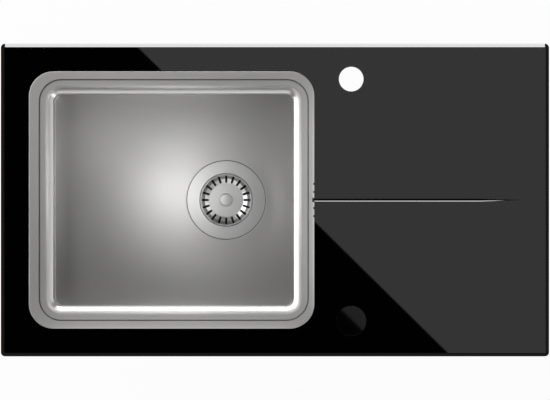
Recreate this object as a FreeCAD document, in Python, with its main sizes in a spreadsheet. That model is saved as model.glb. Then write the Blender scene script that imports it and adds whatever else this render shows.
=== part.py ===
"""Glass-top kitchen sink with a pop-up basket waste, as a parametric FreeCAD document in millimetres.

The origin is the middle of the sink on the worktop, +X to the right, +Y to the rear, +Z up.
Every driving size is a cell of the sheet called Sizes. A Size keeps a number together with
the expression that gives it, so a feature is drawn at its value and bound to the sheet.
"""
import FreeCAD
import Part
import math
import os
import Sketcher
from FreeCAD import Placement, Rotation, Vector

SIZES = {
    # Glass top
    "top_length": 780, "top_width": 445, "top_corner": 6, "glass_thick": 8,
    "bevel_width": 5, "bevel_height": 4,
    "bowl_margin": 40, "hole_gap": 52.5, "hole_inset": 50.5, "hole_radius": 17.5,
    "groove_width": 4, "groove_depth": 1.6, "groove_margin": 41.5, "groove_taper": 58,
    "groove_end_width": 0.4, "groove_end_depth": 0.15,
    # Seal, tray and gasket
    "seal_thick": 2, "seal_inset": 2, "seal_width": 8,
    "tray_sheet": 1, "tray_inset": 14, "tray_corner": 8, "skirt_height": 24, "tray_gap": 4,
    "tray_hole_clear": 1.5, "gasket_thick": 0.6, "gasket_inset": 1,
    # Bowl
    "sheet": 1, "mouth_length": 384, "mouth_width": 344, "mouth_corner": 32,
    "flange_left": 14, "flange_right": 8, "flange_side": 11, "flange_corner": 35,
    "cut_clear": 1, "step_drop": 3, "step_radius": 1.4, "ledge_width": 7, "lip_width": 13.5,
    "lip_slope_width": 6.3, "lip_slope_depth": 5.3, "lip_radius": 20, "lip_knee": 1.5,
    "cove_radius": 3, "bowl_depth": 182, "floor_fall": 1, "fall_margin": 1,
    "notch_pitch": 11.5, "notch_width": 3, "notch_depth": 1.5,
    "spout_width": 6, "spout_depth": 3,
    # Sound pads
    "pad_length": 200, "pad_height": 100, "pad_thick": 2.5, "pad_drop": 45,
    # Strainer dish and its seals
    "waste_offset": 74, "waste_hole_radius": 45, "recess_clear": 0.8, "ring_radius": 62,
    "dish_radius": 56.75, "dish_sheet": 1.2, "dish_seal_thick": 1, "throat_radius": 38.75,
    "throat_round": 2.5, "throat_depth": 22, "seat_radius": 34, "seat_depth": 31,
    "drain_hole_radius": 6, "drain_hole_circle": 21.5, "drain_hole_count": 8,
    "lower_seal_thick": 2,
    # Clamp bolt
    "bolt_radius": 5.5, "bolt_head_radius": 8.5, "bolt_head_height": 2.5, "bolt_bore": 4.3,
    # Basket
    "basket_sheet": 0.9, "basket_rim_drop": 3, "basket_rim_radius": 37.2, "basket_mouth_radius": 35.6,
    "basket_waist_radius": 31, "basket_waist_depth": 17, "basket_depth": 20, "basket_floor_radius": 24.5,
    "slot_width": 2.6, "slot_inner": 24.8, "slot_outer": 35.2, "slot_count": 20,
    "button_radius": 9.25, "button_neck": 5, "button_height": 9, "button_edge": 3, "button_crown": 1.5,
    "stud_radius": 3, "stud_clear": 0.2,
    "stopper_flat": 22, "stopper_drop": 4.5, "stopper_lip": 1.2, "stopper_clear": 0.4,
    "stem_radius": 3.9, "stem_flange_radius": 7, "stem_flange_height": 2, "stem_length": 10,
    # Lift gear
    "running_gap": 0.3, "lift_height": 10, "arm_length": 20, "arm_tip_radius": 3,
    "arm_depth": 3.6, "arm_hub_radius": 6, "arm_thick": 8,
    "shaft_radius": 3, "shaft_depth": 66, "shaft_inner_end": 7,
    "crank_length": 20, "crank_thick": 3, "crank_width": 9, "crank_screw_radius": 2,
    "crank_screw_head": 4, "shaft_fit": 0.05,
    # Waste body
    "body_wall": 3, "body_radius": 43, "body_step": 2, "body_flange_radius": 53, "body_flange_thick": 4,
    "body_depth": 78, "body_cone": 12, "tail_bore": 20.5, "tail_radius": 23.9,
    "tail_length": 32, "tail_entry": 10, "tail_step": 0.6, "tail_relief": 1,
    "spider_depth": 44, "spider_height": 12, "spider_rib": 5, "spider_hub_radius": 10,
    "thread_clear": 0.1, "boss_radius": 8, "boss_reach": 60,
    "stop_thick": 2, "stop_reach": 34, "stop_height": 16, "stop_ear": 12,
    "gland_nut_thick": 5, "gland_nut_radius": 9,
    "shaft_seal_radius": 5.2, "shaft_seal_length": 4,
    "cable_gland_radius": 3, "cable_gland_bore": 1.5, "cable_gland_length": 22,
    # Overflow
    "overflow_drop": 42, "overflow_radius": 19.3, "grille_clear": 0.3, "grille_thick": 1.2,
    "grille_hole_radius": 2.6, "grille_hole_circle": 11.5, "grille_hole_count": 8,
    "elbow_wall": 3, "elbow_flange_radius": 27, "elbow_flange_thick": 3.5, "elbow_depth": 38,
    "overflow_seal_thick": 1.5, "overflow_screw_radius": 2, "overflow_screw_head": 4,
    "overflow_screw_length": 16, "overflow_screw_rise": 0.8, "elbow_boss_radius": 4.5,
    "pipe_radius": 10, "pipe_wall": 2, "pipe_bend": 30, "pipe_entry": 10, "pipe_clear": 0.2,
    "socket_wall": 2.8, "elbow_drop": 40, "spigot_depth": 26, "spigot_reach": 72,
    "union_thick": 12, "union_cap": 3, "union_radius": 19,
    # Control knob
    "knob_radius": 21.5, "knob_gap": 0.6, "knob_height": 9.4, "knob_crown": 3, "knob_round": 2.5,
    "knob_wall": 1.4, "bush_seal_thick": 1, "bush_flange_radius": 19.6, "bush_flange_thick": 2,
    "bush_clear": 1, "bush_length": 31, "spindle_radius": 4, "spindle_top": 5.5,
    "washer_radius": 25, "washer_thick": 2, "nut_radius": 27, "nut_thick": 8,
    "clip_ring_radius": 7, "clip_ring_thick": 1, "drum_radius": 14, "drum_groove": 1.5,
    "drum_thick": 11, "drum_gap": 1.5, "housing_wall": 1.8, "housing_grip": 6, "housing_gap": 2,
    # Clips
    "worktop_thick": 38, "clip_end_gap": 86,
    "bracket_thick": 2, "bracket_width": 18, "bracket_height": 18, "bracket_drop": 3,
    "bracket_reach": 24, "clip_axis": 13, "clip_screw_radius": 2.5, "clip_fit": 0.15,
    "clip_screw_head": 5, "clip_screw_head_height": 4, "claw_thick": 2.5, "claw_width": 16,
    "claw_reach": 15, "claw_heel": 8, "claw_tooth": 6,
}

TOUCH = 0.01

doc = FreeCAD.newDocument("Sink")
sheet_object = doc.addObject("Spreadsheet::Sheet", "Sizes")


class Size:
    """A number from the sheet, kept with the expression that gives it."""

    def __init__(self, value, text):
        self.value = float(value)
        self.text = text

    def __add__(self, other):
        return joined(self, "+", other, self.value + number(other))

    def __radd__(self, other):
        return joined(other, "+", self, number(other) + self.value)

    def __sub__(self, other):
        return joined(self, "-", other, self.value - number(other))

    def __rsub__(self, other):
        return joined(other, "-", self, number(other) - self.value)

    def __mul__(self, other):
        return joined(self, "*", other, self.value * number(other))

    def __rmul__(self, other):
        return joined(other, "*", self, number(other) * self.value)

    def __truediv__(self, other):
        return joined(self, "/", other, self.value / number(other))

    def __neg__(self):
        return Size(-self.value, f"(-1 * {self.text})")


def number(item):
    return item.value if isinstance(item, Size) else float(item)


def text(item):
    return item.text if isinstance(item, Size) else f"{float(item):.6g}"


def joined(left, sign, right, value):
    return Size(value, f"({text(left)} {sign} {text(right)})")


def arcsine(item):
    return Size(math.degrees(math.asin(item.value)), f"asin({item.text})")


def root(item):
    return Size(math.sqrt(item.value), f"sqrt({item.text})")


def cosine(angle):
    return Size(math.cos(math.radians(angle)), f"cos({angle} deg)")


def sine(angle):
    return Size(math.sin(math.radians(angle)), f"sin({angle} deg)")


def fill_sheet():
    """Writes each size to its own cell and returns them by name."""
    sizes = {}
    for row, (name, value) in enumerate(SIZES.items(), 1):
        sheet_object.set(f"A{row}", name)
        sheet_object.set(f"B{row}", str(value))
        sheet_object.setAlias(f"B{row}", name)
        sizes[name] = Size(value, f"Sizes.{name}")
    doc.recompute()
    return sizes


size = fill_sheet()


def mm(name):
    return size[name]


# Places, levels and outlines that several pieces share
mouth_x = mm("bowl_margin") + mm("flange_left") + mm("mouth_length") / 2 - mm("top_length") / 2
waste_x = mouth_x + mm("waste_offset")
hole_x = mouth_x + mm("mouth_length") / 2 + mm("flange_right") + mm("hole_gap")
hole_y = mm("top_width") / 2 - mm("hole_inset")
groove_end_x = mm("top_length") / 2 - mm("groove_margin")
glass_low = mm("seal_thick")
glass_high = glass_low + mm("glass_thick")
tray_low = glass_low - mm("tray_sheet")
flange_low = glass_high + mm("gasket_thick")
flange_high = flange_low + mm("sheet")
ledge_high = flange_high - mm("step_drop")
floor_high = flange_high - mm("bowl_depth")
ring_high = floor_high - mm("floor_fall")
recess_depth = mm("dish_sheet") + mm("dish_seal_thick")
body_inner = mm("body_radius") - mm("body_step")
cone_low = -mm("body_depth") - mm("body_cone")
spider_low = -mm("spider_depth") - mm("spider_height")
body_top = -(recess_depth + mm("sheet") + mm("lower_seal_thick"))
wall_inset = mm("ledge_width") + mm("lip_width")
inner_length = mm("mouth_length") - 2 * wall_inset
inner_width = mm("mouth_width") - 2 * wall_inset
inner_corner = mm("mouth_corner") - wall_inset
cut_margin = mm("sheet") + mm("cut_clear")
cut_length = mm("mouth_length") + 2 * cut_margin
cut_width = mm("mouth_width") + 2 * cut_margin
cut_corner = mm("mouth_corner") + cut_margin
flange_length = mm("mouth_length") + mm("flange_left") + mm("flange_right")
flange_width = mm("mouth_width") + 2 * mm("flange_side")
flange_shift = (mm("flange_right") - mm("flange_left")) / 2
tray_length = mm("top_length") - 2 * mm("tray_inset")
tray_width = mm("top_width") - 2 * mm("tray_inset")
wall_x = mouth_x + inner_length / 2
lift_angle = arcsine(mm("lift_height") / (2 * mm("arm_length")))


# Document helpers
def bind(item, path, value):
    """Binds one property of an object to the sheet."""
    item.setExpression(path, text(value))


def place(item, x=0, y=0, z=0):
    for axis, value in zip("xyz", (x, y, z)):
        bind(item, f"Placement.Base.{axis}", value)
    return item


def new_body(label, x=0, y=0, z=0):
    body = doc.addObject("PartDesign::Body", label)
    body.Label = label
    return place(body, x, y, z)


def origin_item(body, role):
    return next(item for item in body.Origin.OriginFeatures if item.Role == role)


def new_sketch(body, role="XY_Plane", offset=0):
    sketch = body.newObject("Sketcher::SketchObject", "Sketch")
    sketch.AttachmentSupport = (origin_item(body, role), [""])
    sketch.MapMode = "FlatFace"
    bind(sketch, "AttachmentOffset.Base.z", offset)
    return sketch


def constrain(sketch, rows):
    """Adds constraints. A row is (kind, references, size or None), and a size is bound to the sheet."""
    for kind, references, value in rows:
        if value is None:
            sketch.addConstraint(Sketcher.Constraint(kind, *references))
        else:
            index = sketch.addConstraint(Sketcher.Constraint(kind, *references, number(value)))
            bind(sketch, f"Constraints[{index}]", value)


def fixed_point(item, end, x, y):
    """Rows that hold a point at a place measured from the sketch's origin."""
    return [("DistanceX", (-1, 1, item, end), x), ("DistanceY", (-1, 1, item, end), y)]


def rounding(before, corner, after, radius):
    """Centre and end points of the arc that rounds a corner."""
    to_before = (before - corner).normalize()
    to_after = (after - corner).normalize()
    half = to_before.getAngle(to_after) / 2
    reach = radius / math.tan(half)
    centre = corner + (to_before + to_after).normalize() * (radius / math.sin(half))
    return centre, corner + to_before * reach, corner + to_after * reach


def draw_outline(sketch, corners):
    """Draws a closed outline. A corner is (x, y), or (x, y, radius) where it is rounded."""
    points = [Vector(number(corner[0]), number(corner[1]), 0) for corner in corners]
    starts, ends, arcs = list(points), list(points), {}
    for index, corner in enumerate(corners):
        if len(corner) == 3:
            before, after = points[index - 1], points[(index + 1) % len(points)]
            centre, first, last = rounding(before, points[index], after, number(corner[2]))
            arcs[index] = (centre, first, last)
            ends[index], starts[index] = first, last
    lines = []
    for index in range(len(points)):
        line = Part.LineSegment(starts[index], ends[(index + 1) % len(points)])
        lines.append(sketch.addGeometry(line))
    for index, corner in enumerate(corners):
        line_in, line_out = lines[index - 1], lines[index]
        if index in arcs:
            round_corner(sketch, line_in, line_out, corner, arcs[index])
        else:
            constrain(sketch, [("Coincident", (line_in, 2, line_out, 1), None)])
            constrain(sketch, fixed_point(line_out, 1, corner[0], corner[1]))


def round_corner(sketch, line_in, line_out, corner, arc):
    """Joins two lines by a tangent arc and holds the corner that their extensions meet in."""
    centre, first, last = arc
    left_turn = (first - centre).cross(last - centre).z > 0
    begin, finish = (first, last) if left_turn else (last, first)
    angles = [math.atan2(point.y - centre.y, point.x - centre.x) for point in (begin, finish)]
    circle = Part.Circle(centre, Vector(0, 0, 1), number(corner[2]))
    item = sketch.addGeometry(Part.ArcOfCircle(circle, *angles))
    point = sketch.addGeometry(Part.Point(Vector(number(corner[0]), number(corner[1]), 0)), True)
    entry, leave = (1, 2) if left_turn else (2, 1)
    constrain(sketch, [
        ("Tangent", (line_in, 2, item, entry), None),
        ("Tangent", (item, leave, line_out, 1), None),
        ("PointOnObject", (point, 1, line_in), None),
        ("PointOnObject", (point, 1, line_out), None),
        ("Radius", (item,), corner[2]),
    ])
    constrain(sketch, fixed_point(point, 1, corner[0], corner[1]))


def draw_rectangle(sketch, length, width, radius=None, x=0, y=0):
    sides = [(-1, -1), (1, -1), (1, 1), (-1, 1)]
    corners = [(x + across * length / 2, y + along * width / 2) for across, along in sides]
    if radius is not None:
        corners = [corner + (radius,) for corner in corners]
    draw_outline(sketch, corners)


def draw_circle(sketch, radius, x=0, y=0):
    centre = Vector(number(x), number(y), 0)
    item = sketch.addGeometry(Part.Circle(centre, Vector(0, 0, 1), number(radius)))
    constrain(sketch, fixed_point(item, 3, x, y))
    constrain(sketch, [("Radius", (item,), radius)])


def draw_dome(sketch, radius, low, high, crown):
    """Half a domed button: a straight side with a shallow arc on top that meets the axis."""
    top, edge = number(high) + number(crown), Vector(number(radius), number(high), 0)
    bottom = number(low)
    sphere = (number(radius) ** 2 + number(crown) ** 2) / (2 * number(crown))
    middle = Vector(0, top - sphere, 0)
    start = math.atan2(edge.y - middle.y, edge.x)
    circle = Part.Circle(middle, Vector(0, 0, 1), sphere)
    base = sketch.addGeometry(Part.LineSegment(Vector(0, bottom, 0), Vector(edge.x, bottom, 0)))
    side = sketch.addGeometry(Part.LineSegment(Vector(edge.x, bottom, 0), edge))
    arc = sketch.addGeometry(Part.ArcOfCircle(circle, start, math.pi / 2))
    axis = sketch.addGeometry(Part.LineSegment(Vector(0, top, 0), Vector(0, bottom, 0)))
    constrain(sketch, [
        ("Coincident", (base, 2, side, 1), None),
        ("Coincident", (side, 2, arc, 1), None),
        ("Coincident", (arc, 2, axis, 1), None),
        ("Coincident", (axis, 2, base, 1), None),
        ("PointOnObject", (arc, 3, -2), None),
    ])
    constrain(sketch, fixed_point(base, 1, 0, low))
    constrain(sketch, fixed_point(side, 1, radius, low))
    constrain(sketch, fixed_point(side, 2, radius, high))
    constrain(sketch, fixed_point(axis, 1, 0, high + crown))


def add_feature(body, kind, **links):
    """Adds a feature and makes it the body's last one."""
    feature = body.newObject(f"PartDesign::{kind}", kind)
    for name, value in links.items():
        setattr(feature, name, value)
    body.Tip = feature
    return feature


def pad(body, sketch, length):
    feature = add_feature(body, "Pad", Profile=sketch)
    bind(feature, "Length", length)
    doc.recompute()
    return feature


def pocket(body, sketch, length, upward=False):
    feature = add_feature(body, "Pocket", Profile=sketch, Reversed=upward)
    bind(feature, "Length", length)
    doc.recompute()
    return feature


def revolve(body, sketch):
    axis = (origin_item(body, "Z_Axis"), [""])
    feature = add_feature(body, "Revolution", Profile=sketch, ReferenceAxis=axis, Angle=360)
    doc.recompute()
    return feature


def polar(body, feature, count):
    axis = (origin_item(body, "Z_Axis"), [""])
    pattern = add_feature(body, "PolarPattern", Originals=[feature], Axis=axis, Angle=360)
    bind(pattern, "Occurrences", count)
    doc.recompute()
    return pattern


def fillet(body, radius, names):
    feature = add_feature(body, "Fillet", Base=(body.Tip, names))
    bind(feature, "Radius", radius)
    doc.recompute()
    return feature


def turned(label, corners, x=0, y=0, z=0):
    """A body of revolution about its own Z axis, from an outline in radius and height."""
    body = new_body(label, x, y, z)
    sketch = new_sketch(body, "XZ_Plane")
    draw_outline(sketch, corners)
    revolve(body, sketch)
    return body


def ring(label, inner, outer, low, high, x=0, y=0, z=0):
    corners = [(inner, low), (outer, low), (outer, high), (inner, high)]
    return turned(label, corners, x, y, z)


def on_rectangle(point, length, width, radius, x=0):
    """Whether a point lies on a rounded rectangle about (x, 0)."""
    across = abs(point.x - number(x)) - number(length) / 2 + number(radius)
    along = abs(point.y) - number(width) / 2 + number(radius)
    outside = math.hypot(max(across, 0), max(along, 0)) + min(max(across, along), 0)
    return abs(outside - number(radius)) < TOUCH


def rectangle_edges(body, level, length, width, radius, x=0):
    """Names of the edges at one level that lie on a rounded rectangle."""
    names = []
    for index, edge in enumerate(body.Tip.Shape.Edges, 1):
        middle = edge.valueAt((edge.FirstParameter + edge.LastParameter) / 2)
        points = [vertex.Point for vertex in edge.Vertexes] + [middle]
        level_edge = all(abs(point.z - number(level)) < TOUCH for point in points)
        if level_edge and all(on_rectangle(point, length, width, radius, x) for point in points):
            names.append(f"Edge{index}")
    return names


def circle_edges(body, level, radius):
    """Names of the circular edges at one level about the body's Z axis."""
    names = []
    for index, edge in enumerate(body.Tip.Shape.Edges, 1):
        if edge.Degenerated:
            continue
        points = edge.discretize(5)
        level_edge = all(abs(point.z - number(level)) < TOUCH for point in points)
        offsets = [math.hypot(point.x, point.y) - number(radius) for point in points]
        if level_edge and all(abs(offset) < TOUCH for offset in offsets):
            names.append(f"Edge{index}")
    return names


def make_box(length, width, height, x=0, y=0, z=0):
    box = doc.addObject("Part::Box", "Box")
    for name, value in (("Length", length), ("Width", width), ("Height", height)):
        bind(box, name, value)
    return place(box, x, y, z)


TURN = {"X": Rotation(Vector(0, 1, 0), 90), "Y": Rotation(Vector(1, 0, 0), -90), "Z": Rotation()}


def make_cylinder(radius, height, x=0, y=0, z=0, along="Z"):
    cylinder = doc.addObject("Part::Cylinder", "Cylinder")
    cylinder.Placement = Placement(Vector(), TURN[along])
    bind(cylinder, "Radius", radius)
    bind(cylinder, "Height", height)
    return place(cylinder, x, y, z)


def make_hexagon(radius, height, x=0, y=0, z=0, along="Z"):
    prism = doc.addObject("Part::Prism", "Prism")
    prism.Placement = Placement(Vector(), TURN[along])
    prism.Polygon = 6
    bind(prism, "Circumradius", radius)
    bind(prism, "Height", height)
    return place(prism, x, y, z)


def cut(label, base, tool):
    feature = doc.addObject("Part::Cut", label)
    feature.Label = label
    feature.Base = base
    feature.Tool = tool
    return feature


def common(label, base, tool):
    feature = doc.addObject("Part::Common", label)
    feature.Label = label
    feature.Base = base
    feature.Tool = tool
    return feature


def fuse(label, pieces):
    feature = doc.addObject("Part::MultiFuse", label)
    feature.Label = label
    feature.Shapes = pieces
    return feature


def group(label, pieces):
    feature = doc.addObject("Part::Compound", label)
    feature.Label = label
    feature.Links = pieces
    return feature


def copy_at(label, form, x, y, turn):
    """A copy of a form, turned about Z and moved."""
    feature = group(label, [form])
    feature.Placement = Placement(Vector(), Rotation(Vector(0, 0, 1), turn))
    return place(feature, x, y)


# Top
def glass_top():
    body = new_body("glass_top")
    plan = (mm("top_length"), mm("top_width"), mm("top_corner"))
    sketch = new_sketch(body, offset=glass_low)
    draw_rectangle(sketch, *plan)
    pad(body, sketch, mm("glass_thick"))
    names = rectangle_edges(body, glass_high, *plan)
    bevel = add_feature(body, "Chamfer", Base=(body.Tip, names), ChamferType="Two distances")
    bind(bevel, "Size", mm("bevel_height"))
    bind(bevel, "Size2", mm("bevel_width"))
    doc.recompute()
    sketch = new_sketch(body, offset=glass_high)
    draw_rectangle(sketch, cut_length, cut_width, cut_corner, mouth_x)
    draw_circle(sketch, mm("hole_radius"), hole_x, hole_y)
    draw_circle(sketch, mm("hole_radius"), hole_x, -hole_y)
    pocket(body, sketch, mm("glass_thick"))
    drain_groove(body)
    return body


def drain_groove(body):
    """V groove from under the bowl's flange, straight and then tapering out."""
    start = mouth_x + cut_length / 2 - 1
    taper = groove_end_x - mm("groove_taper")
    stations = [(start, mm("groove_width"), mm("groove_depth")),
                (taper, mm("groove_width"), mm("groove_depth")),
                (groove_end_x, mm("groove_end_width"), mm("groove_end_depth"))]
    for first, last in zip(stations, stations[1:]):
        sketches = []
        for place_x, width, depth in (first, last):
            sketch = new_sketch(body, "YZ_Plane", place_x)
            half, low = width / 2, glass_high - depth
            draw_outline(sketch, [(-half, glass_high), (0, low), (half, glass_high)])
            sketches.append(sketch)
        add_feature(body, "SubtractiveLoft", Profile=sketches[0], Sections=[sketches[1]], Ruled=True)
        doc.recompute()


def frame_ring(label, outer, inner, low, height, inner_x=0, outer_x=0):
    """A flat ring between two rounded rectangles, each (length, width, radius)."""
    body = new_body(label)
    sketch = new_sketch(body, offset=low)
    draw_rectangle(sketch, *outer, outer_x)
    draw_rectangle(sketch, *inner, inner_x)
    pad(body, sketch, height)
    return body


def worktop_seal():
    outer = [mm("top_length") - 2 * mm("seal_inset"), mm("top_width") - 2 * mm("seal_inset")]
    inner = [side - 2 * mm("seal_width") for side in outer]
    outer.append(mm("top_corner"))
    inner.append(mm("tray_corner"))
    return frame_ring("worktop_seal", outer, inner, 0, mm("seal_thick"))


def bowl_gasket():
    inset = mm("gasket_inset")
    outer = (flange_length - 2 * inset, flange_width - 2 * inset, mm("flange_corner") - inset)
    inner = (cut_length, cut_width, cut_corner)
    centre = mouth_x + flange_shift
    return frame_ring("bowl_gasket", outer, inner, glass_high, mm("gasket_thick"), mouth_x, centre)


def support_tray():
    wall = 2 * mm("tray_sheet")
    outer = (tray_length, tray_width, mm("tray_corner"))
    inner = (tray_length - wall, tray_width - wall, mm("tray_corner") - mm("tray_sheet"))
    body = frame_ring("support_tray", outer, inner, glass_low - mm("skirt_height"), mm("skirt_height"))
    sketch = new_sketch(body, offset=tray_low)
    gap = mm("tray_gap")
    draw_rectangle(sketch, *outer)
    draw_rectangle(sketch, cut_length + 2 * gap, cut_width + 2 * gap, cut_corner + gap, mouth_x)
    for side in (1, -1):
        radius = mm("hole_radius") + mm("tray_hole_clear")
        draw_circle(sketch, radius, hole_x, side * hole_y)
    pad(body, sketch, mm("tray_sheet"))
    return body


# Bowl
def bowl():
    """Sheet bowl: blocks for wall, ledge and flange, hollowed out, then rounded on every bend."""
    body = new_body("bowl", mouth_x)
    sheet = mm("sheet")
    inside = (inner_length, inner_width, inner_corner)
    outside = (inner_length + 2 * sheet, inner_width + 2 * sheet, inner_corner + sheet)
    mouth = (mm("mouth_length"), mm("mouth_width"), mm("mouth_corner"))
    collar = (mm("mouth_length") + 2 * sheet, mm("mouth_width") + 2 * sheet, mm("mouth_corner") + sheet)
    floor_low = floor_high - sheet
    sketch = new_sketch(body, offset=floor_low)
    draw_rectangle(sketch, *outside)
    pad(body, sketch, ledge_high - floor_low)
    sketch = new_sketch(body, offset=ledge_high - sheet)
    draw_rectangle(sketch, *collar)
    pad(body, sketch, flange_high - ledge_high + sheet)
    bowl_lip(body, outside, additive=True)
    bowl_flange(body)
    sketch = new_sketch(body, offset=flange_high)
    draw_rectangle(sketch, *mouth)
    pocket(body, sketch, mm("step_drop"))
    bowl_fall(body, additive=True)
    sketch = new_sketch(body, offset=ledge_high)
    draw_rectangle(sketch, *inside)
    pocket(body, sketch, ledge_high - floor_high)
    fillet(body, mm("cove_radius"), rectangle_edges(body, floor_high, *inside))
    fillet(body, mm("cove_radius") + sheet, rectangle_edges(body, floor_low, *outside))
    bowl_fall(body, additive=False)
    bowl_lip(body, inside, additive=False)
    fillet(body, mm("step_radius"), rectangle_edges(body, flange_high, *mouth))
    fillet(body, mm("step_radius"), rectangle_edges(body, ledge_high, *mouth))
    bowl_openings(body)
    return body


def bowl_lip(body, wall, additive):
    """Broad lip from the ledge to the wall: a slope, rounded into the ledge and bent down at its knee."""
    sheet = mm("sheet")
    wide = mm("lip_slope_width") - (0.64 * sheet if additive else 0 * sheet)
    deep = wide * (mm("lip_slope_depth") / mm("lip_slope_width"))
    level = ledge_high - sheet if additive else ledge_high
    mouth = (wall[0] + 2 * wide, wall[1] + 2 * wide, wall[2] + wide)
    upper = new_sketch(body, offset=level)
    draw_rectangle(upper, *mouth)
    lower = new_sketch(body, offset=level - deep)
    draw_rectangle(lower, *wall)
    kind = "AdditiveLoft" if additive else "SubtractiveLoft"
    add_feature(body, kind, Profile=upper, Sections=[lower], Ruled=True)
    doc.recompute()
    radius = mm("lip_radius") - sheet if additive else mm("lip_radius")
    knee = mm("lip_knee") + sheet if additive else mm("lip_knee")
    fillet(body, radius, rectangle_edges(body, level, *mouth))
    fillet(body, knee, rectangle_edges(body, level - deep, *wall))


def bowl_flange(body):
    """Flange plate with the row of drain notches in its right edge."""
    sketch = new_sketch(body, offset=flange_low)
    draw_rectangle(sketch, flange_length, flange_width, mm("flange_corner"), flange_shift)
    pad(body, sketch, mm("sheet"))
    edge = flange_shift + flange_length / 2
    notches = [(step, mm("notch_width"), mm("notch_depth")) for step in (-2, -1, 1, 2)]
    notches.append((0, mm("spout_width"), mm("spout_depth")))
    sketch = new_sketch(body, offset=flange_high)
    for step, width, depth in notches:
        draw_rectangle(sketch, 2 * depth, width, x=edge, y=step * mm("notch_pitch"))
    pocket(body, sketch, mm("sheet"))


def bowl_fall(body, additive):
    """Slope of the floor from the cove to the ring round the waste."""
    level = floor_high - mm("sheet") if additive else floor_high
    inset = mm("cove_radius") + mm("fall_margin")
    waste = waste_x - mouth_x
    rim = new_sketch(body, offset=level)
    draw_rectangle(rim, inner_length - 2 * inset, inner_width - 2 * inset, inner_corner - inset)
    drop = new_sketch(body, offset=level - mm("floor_fall"))
    draw_split_circle(drop, mm("ring_radius"), waste)
    kind = "AdditiveLoft" if additive else "SubtractiveLoft"
    add_feature(body, kind, Profile=rim, Sections=[drop], Ruled=True)
    doc.recompute()


def draw_split_circle(sketch, radius, x):
    """A circle in eight arcs, long ones for a rectangle's sides and short ones for its corners."""
    centre = Vector(number(x), 0, 0)
    marks = [turn + side for turn in (225, 315, 45, 135) for side in (-5, 5)]
    items = []
    for first, last in zip(marks, marks[1:] + marks[:1]):
        last = last if last > first else last + 360
        circle = Part.Circle(centre, Vector(0, 0, 1), number(radius))
        arc = Part.ArcOfCircle(circle, math.radians(first), math.radians(last))
        items.append(sketch.addGeometry(arc))
    for item, after, mark in zip(items, items[1:] + items[:1], marks):
        constrain(sketch, [("Coincident", (item, 2, after, 1), None)])
        along = radius * cosine(mark)
        across = radius * sine(mark)
        constrain(sketch, fixed_point(item, 1, x + along, across))
        constrain(sketch, [("Radius", (item,), radius)])


def bowl_openings(body):
    """Recess and hole for the waste, and the overflow hole in the right wall."""
    waste = waste_x - mouth_x
    recess = mm("dish_radius") + mm("recess_clear")
    low = ring_high - recess_depth - mm("sheet")
    sketch = new_sketch(body, offset=low)
    draw_circle(sketch, recess + mm("sheet"), waste)
    pad(body, sketch, recess_depth)
    sketch = new_sketch(body, offset=ring_high)
    draw_circle(sketch, recess, waste)
    pocket(body, sketch, recess_depth)
    sketch = new_sketch(body, offset=ring_high)
    draw_circle(sketch, mm("waste_hole_radius"), waste)
    pocket(body, sketch, recess_depth + 2 * mm("sheet"))
    sketch = new_sketch(body, "YZ_Plane", inner_length / 2 + 2 * mm("sheet"))
    draw_circle(sketch, mm("overflow_radius"), 0, flange_high - mm("overflow_drop"))
    pocket(body, sketch, 3 * mm("sheet"))


def sound_pads():
    """Damping pads stuck to the left, front and rear walls."""
    low = ledge_high - mm("pad_drop") - mm("pad_height")
    thick, length, height = mm("pad_thick"), mm("pad_length"), mm("pad_height")
    left = mouth_x - inner_length / 2 - mm("sheet") - thick
    side = inner_width / 2 + mm("sheet")
    start = mouth_x - length / 2
    return group("sound_pads", [
        make_box(thick, length, height, left, -length / 2, low),
        make_box(length, thick, height, start, side, low),
        make_box(length, thick, height, start, -side - thick, low),
    ])


# Waste, in a frame on the waste axis at the level of the floor ring
WASTE = (waste_x, 0, ring_high)


def strainer_dish():
    sheet, throat, seat = mm("dish_sheet"), mm("throat_radius"), mm("seat_radius")
    hub = mm("bolt_radius") + mm("stud_clear")
    body = turned("strainer_dish", [
        (mm("dish_radius"), 0),
        (mm("dish_radius"), -sheet),
        (throat + sheet, -sheet),
        (throat + sheet, -mm("throat_depth")),
        (seat + sheet, -mm("seat_depth")),
        (seat + sheet, -mm("seat_depth") - sheet),
        (hub, -mm("seat_depth") - sheet),
        (hub, -mm("seat_depth")),
        (seat, -mm("seat_depth")),
        (throat, -mm("throat_depth")),
        (throat, 0, mm("throat_round")),
    ][::-1], *WASTE)
    sketch = new_sketch(body, offset=-mm("seat_depth") + sheet)
    draw_circle(sketch, mm("drain_hole_radius"), mm("drain_hole_circle"))
    hole = pocket(body, sketch, 3 * sheet)
    polar(body, hole, mm("drain_hole_count"))
    return body


def dish_seal():
    low = -recess_depth
    return ring("dish_seal", mm("waste_hole_radius"), mm("dish_radius"), low, -mm("dish_sheet"), *WASTE)


def lower_seal():
    high = -recess_depth - mm("sheet")
    outer = mm("body_flange_radius")
    return ring("lower_seal", mm("waste_hole_radius"), outer, body_top, high, *WASTE)


def clamp_bolt():
    head = -mm("seat_depth") + mm("bolt_head_height")
    return turned("clamp_bolt", [
        (mm("bolt_bore"), spider_low),
        (mm("bolt_radius"), spider_low),
        (mm("bolt_radius"), -mm("seat_depth")),
        (mm("bolt_head_radius"), -mm("seat_depth")),
        (mm("bolt_head_radius"), head),
        (mm("bolt_bore"), head),
    ], *WASTE)


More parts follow.
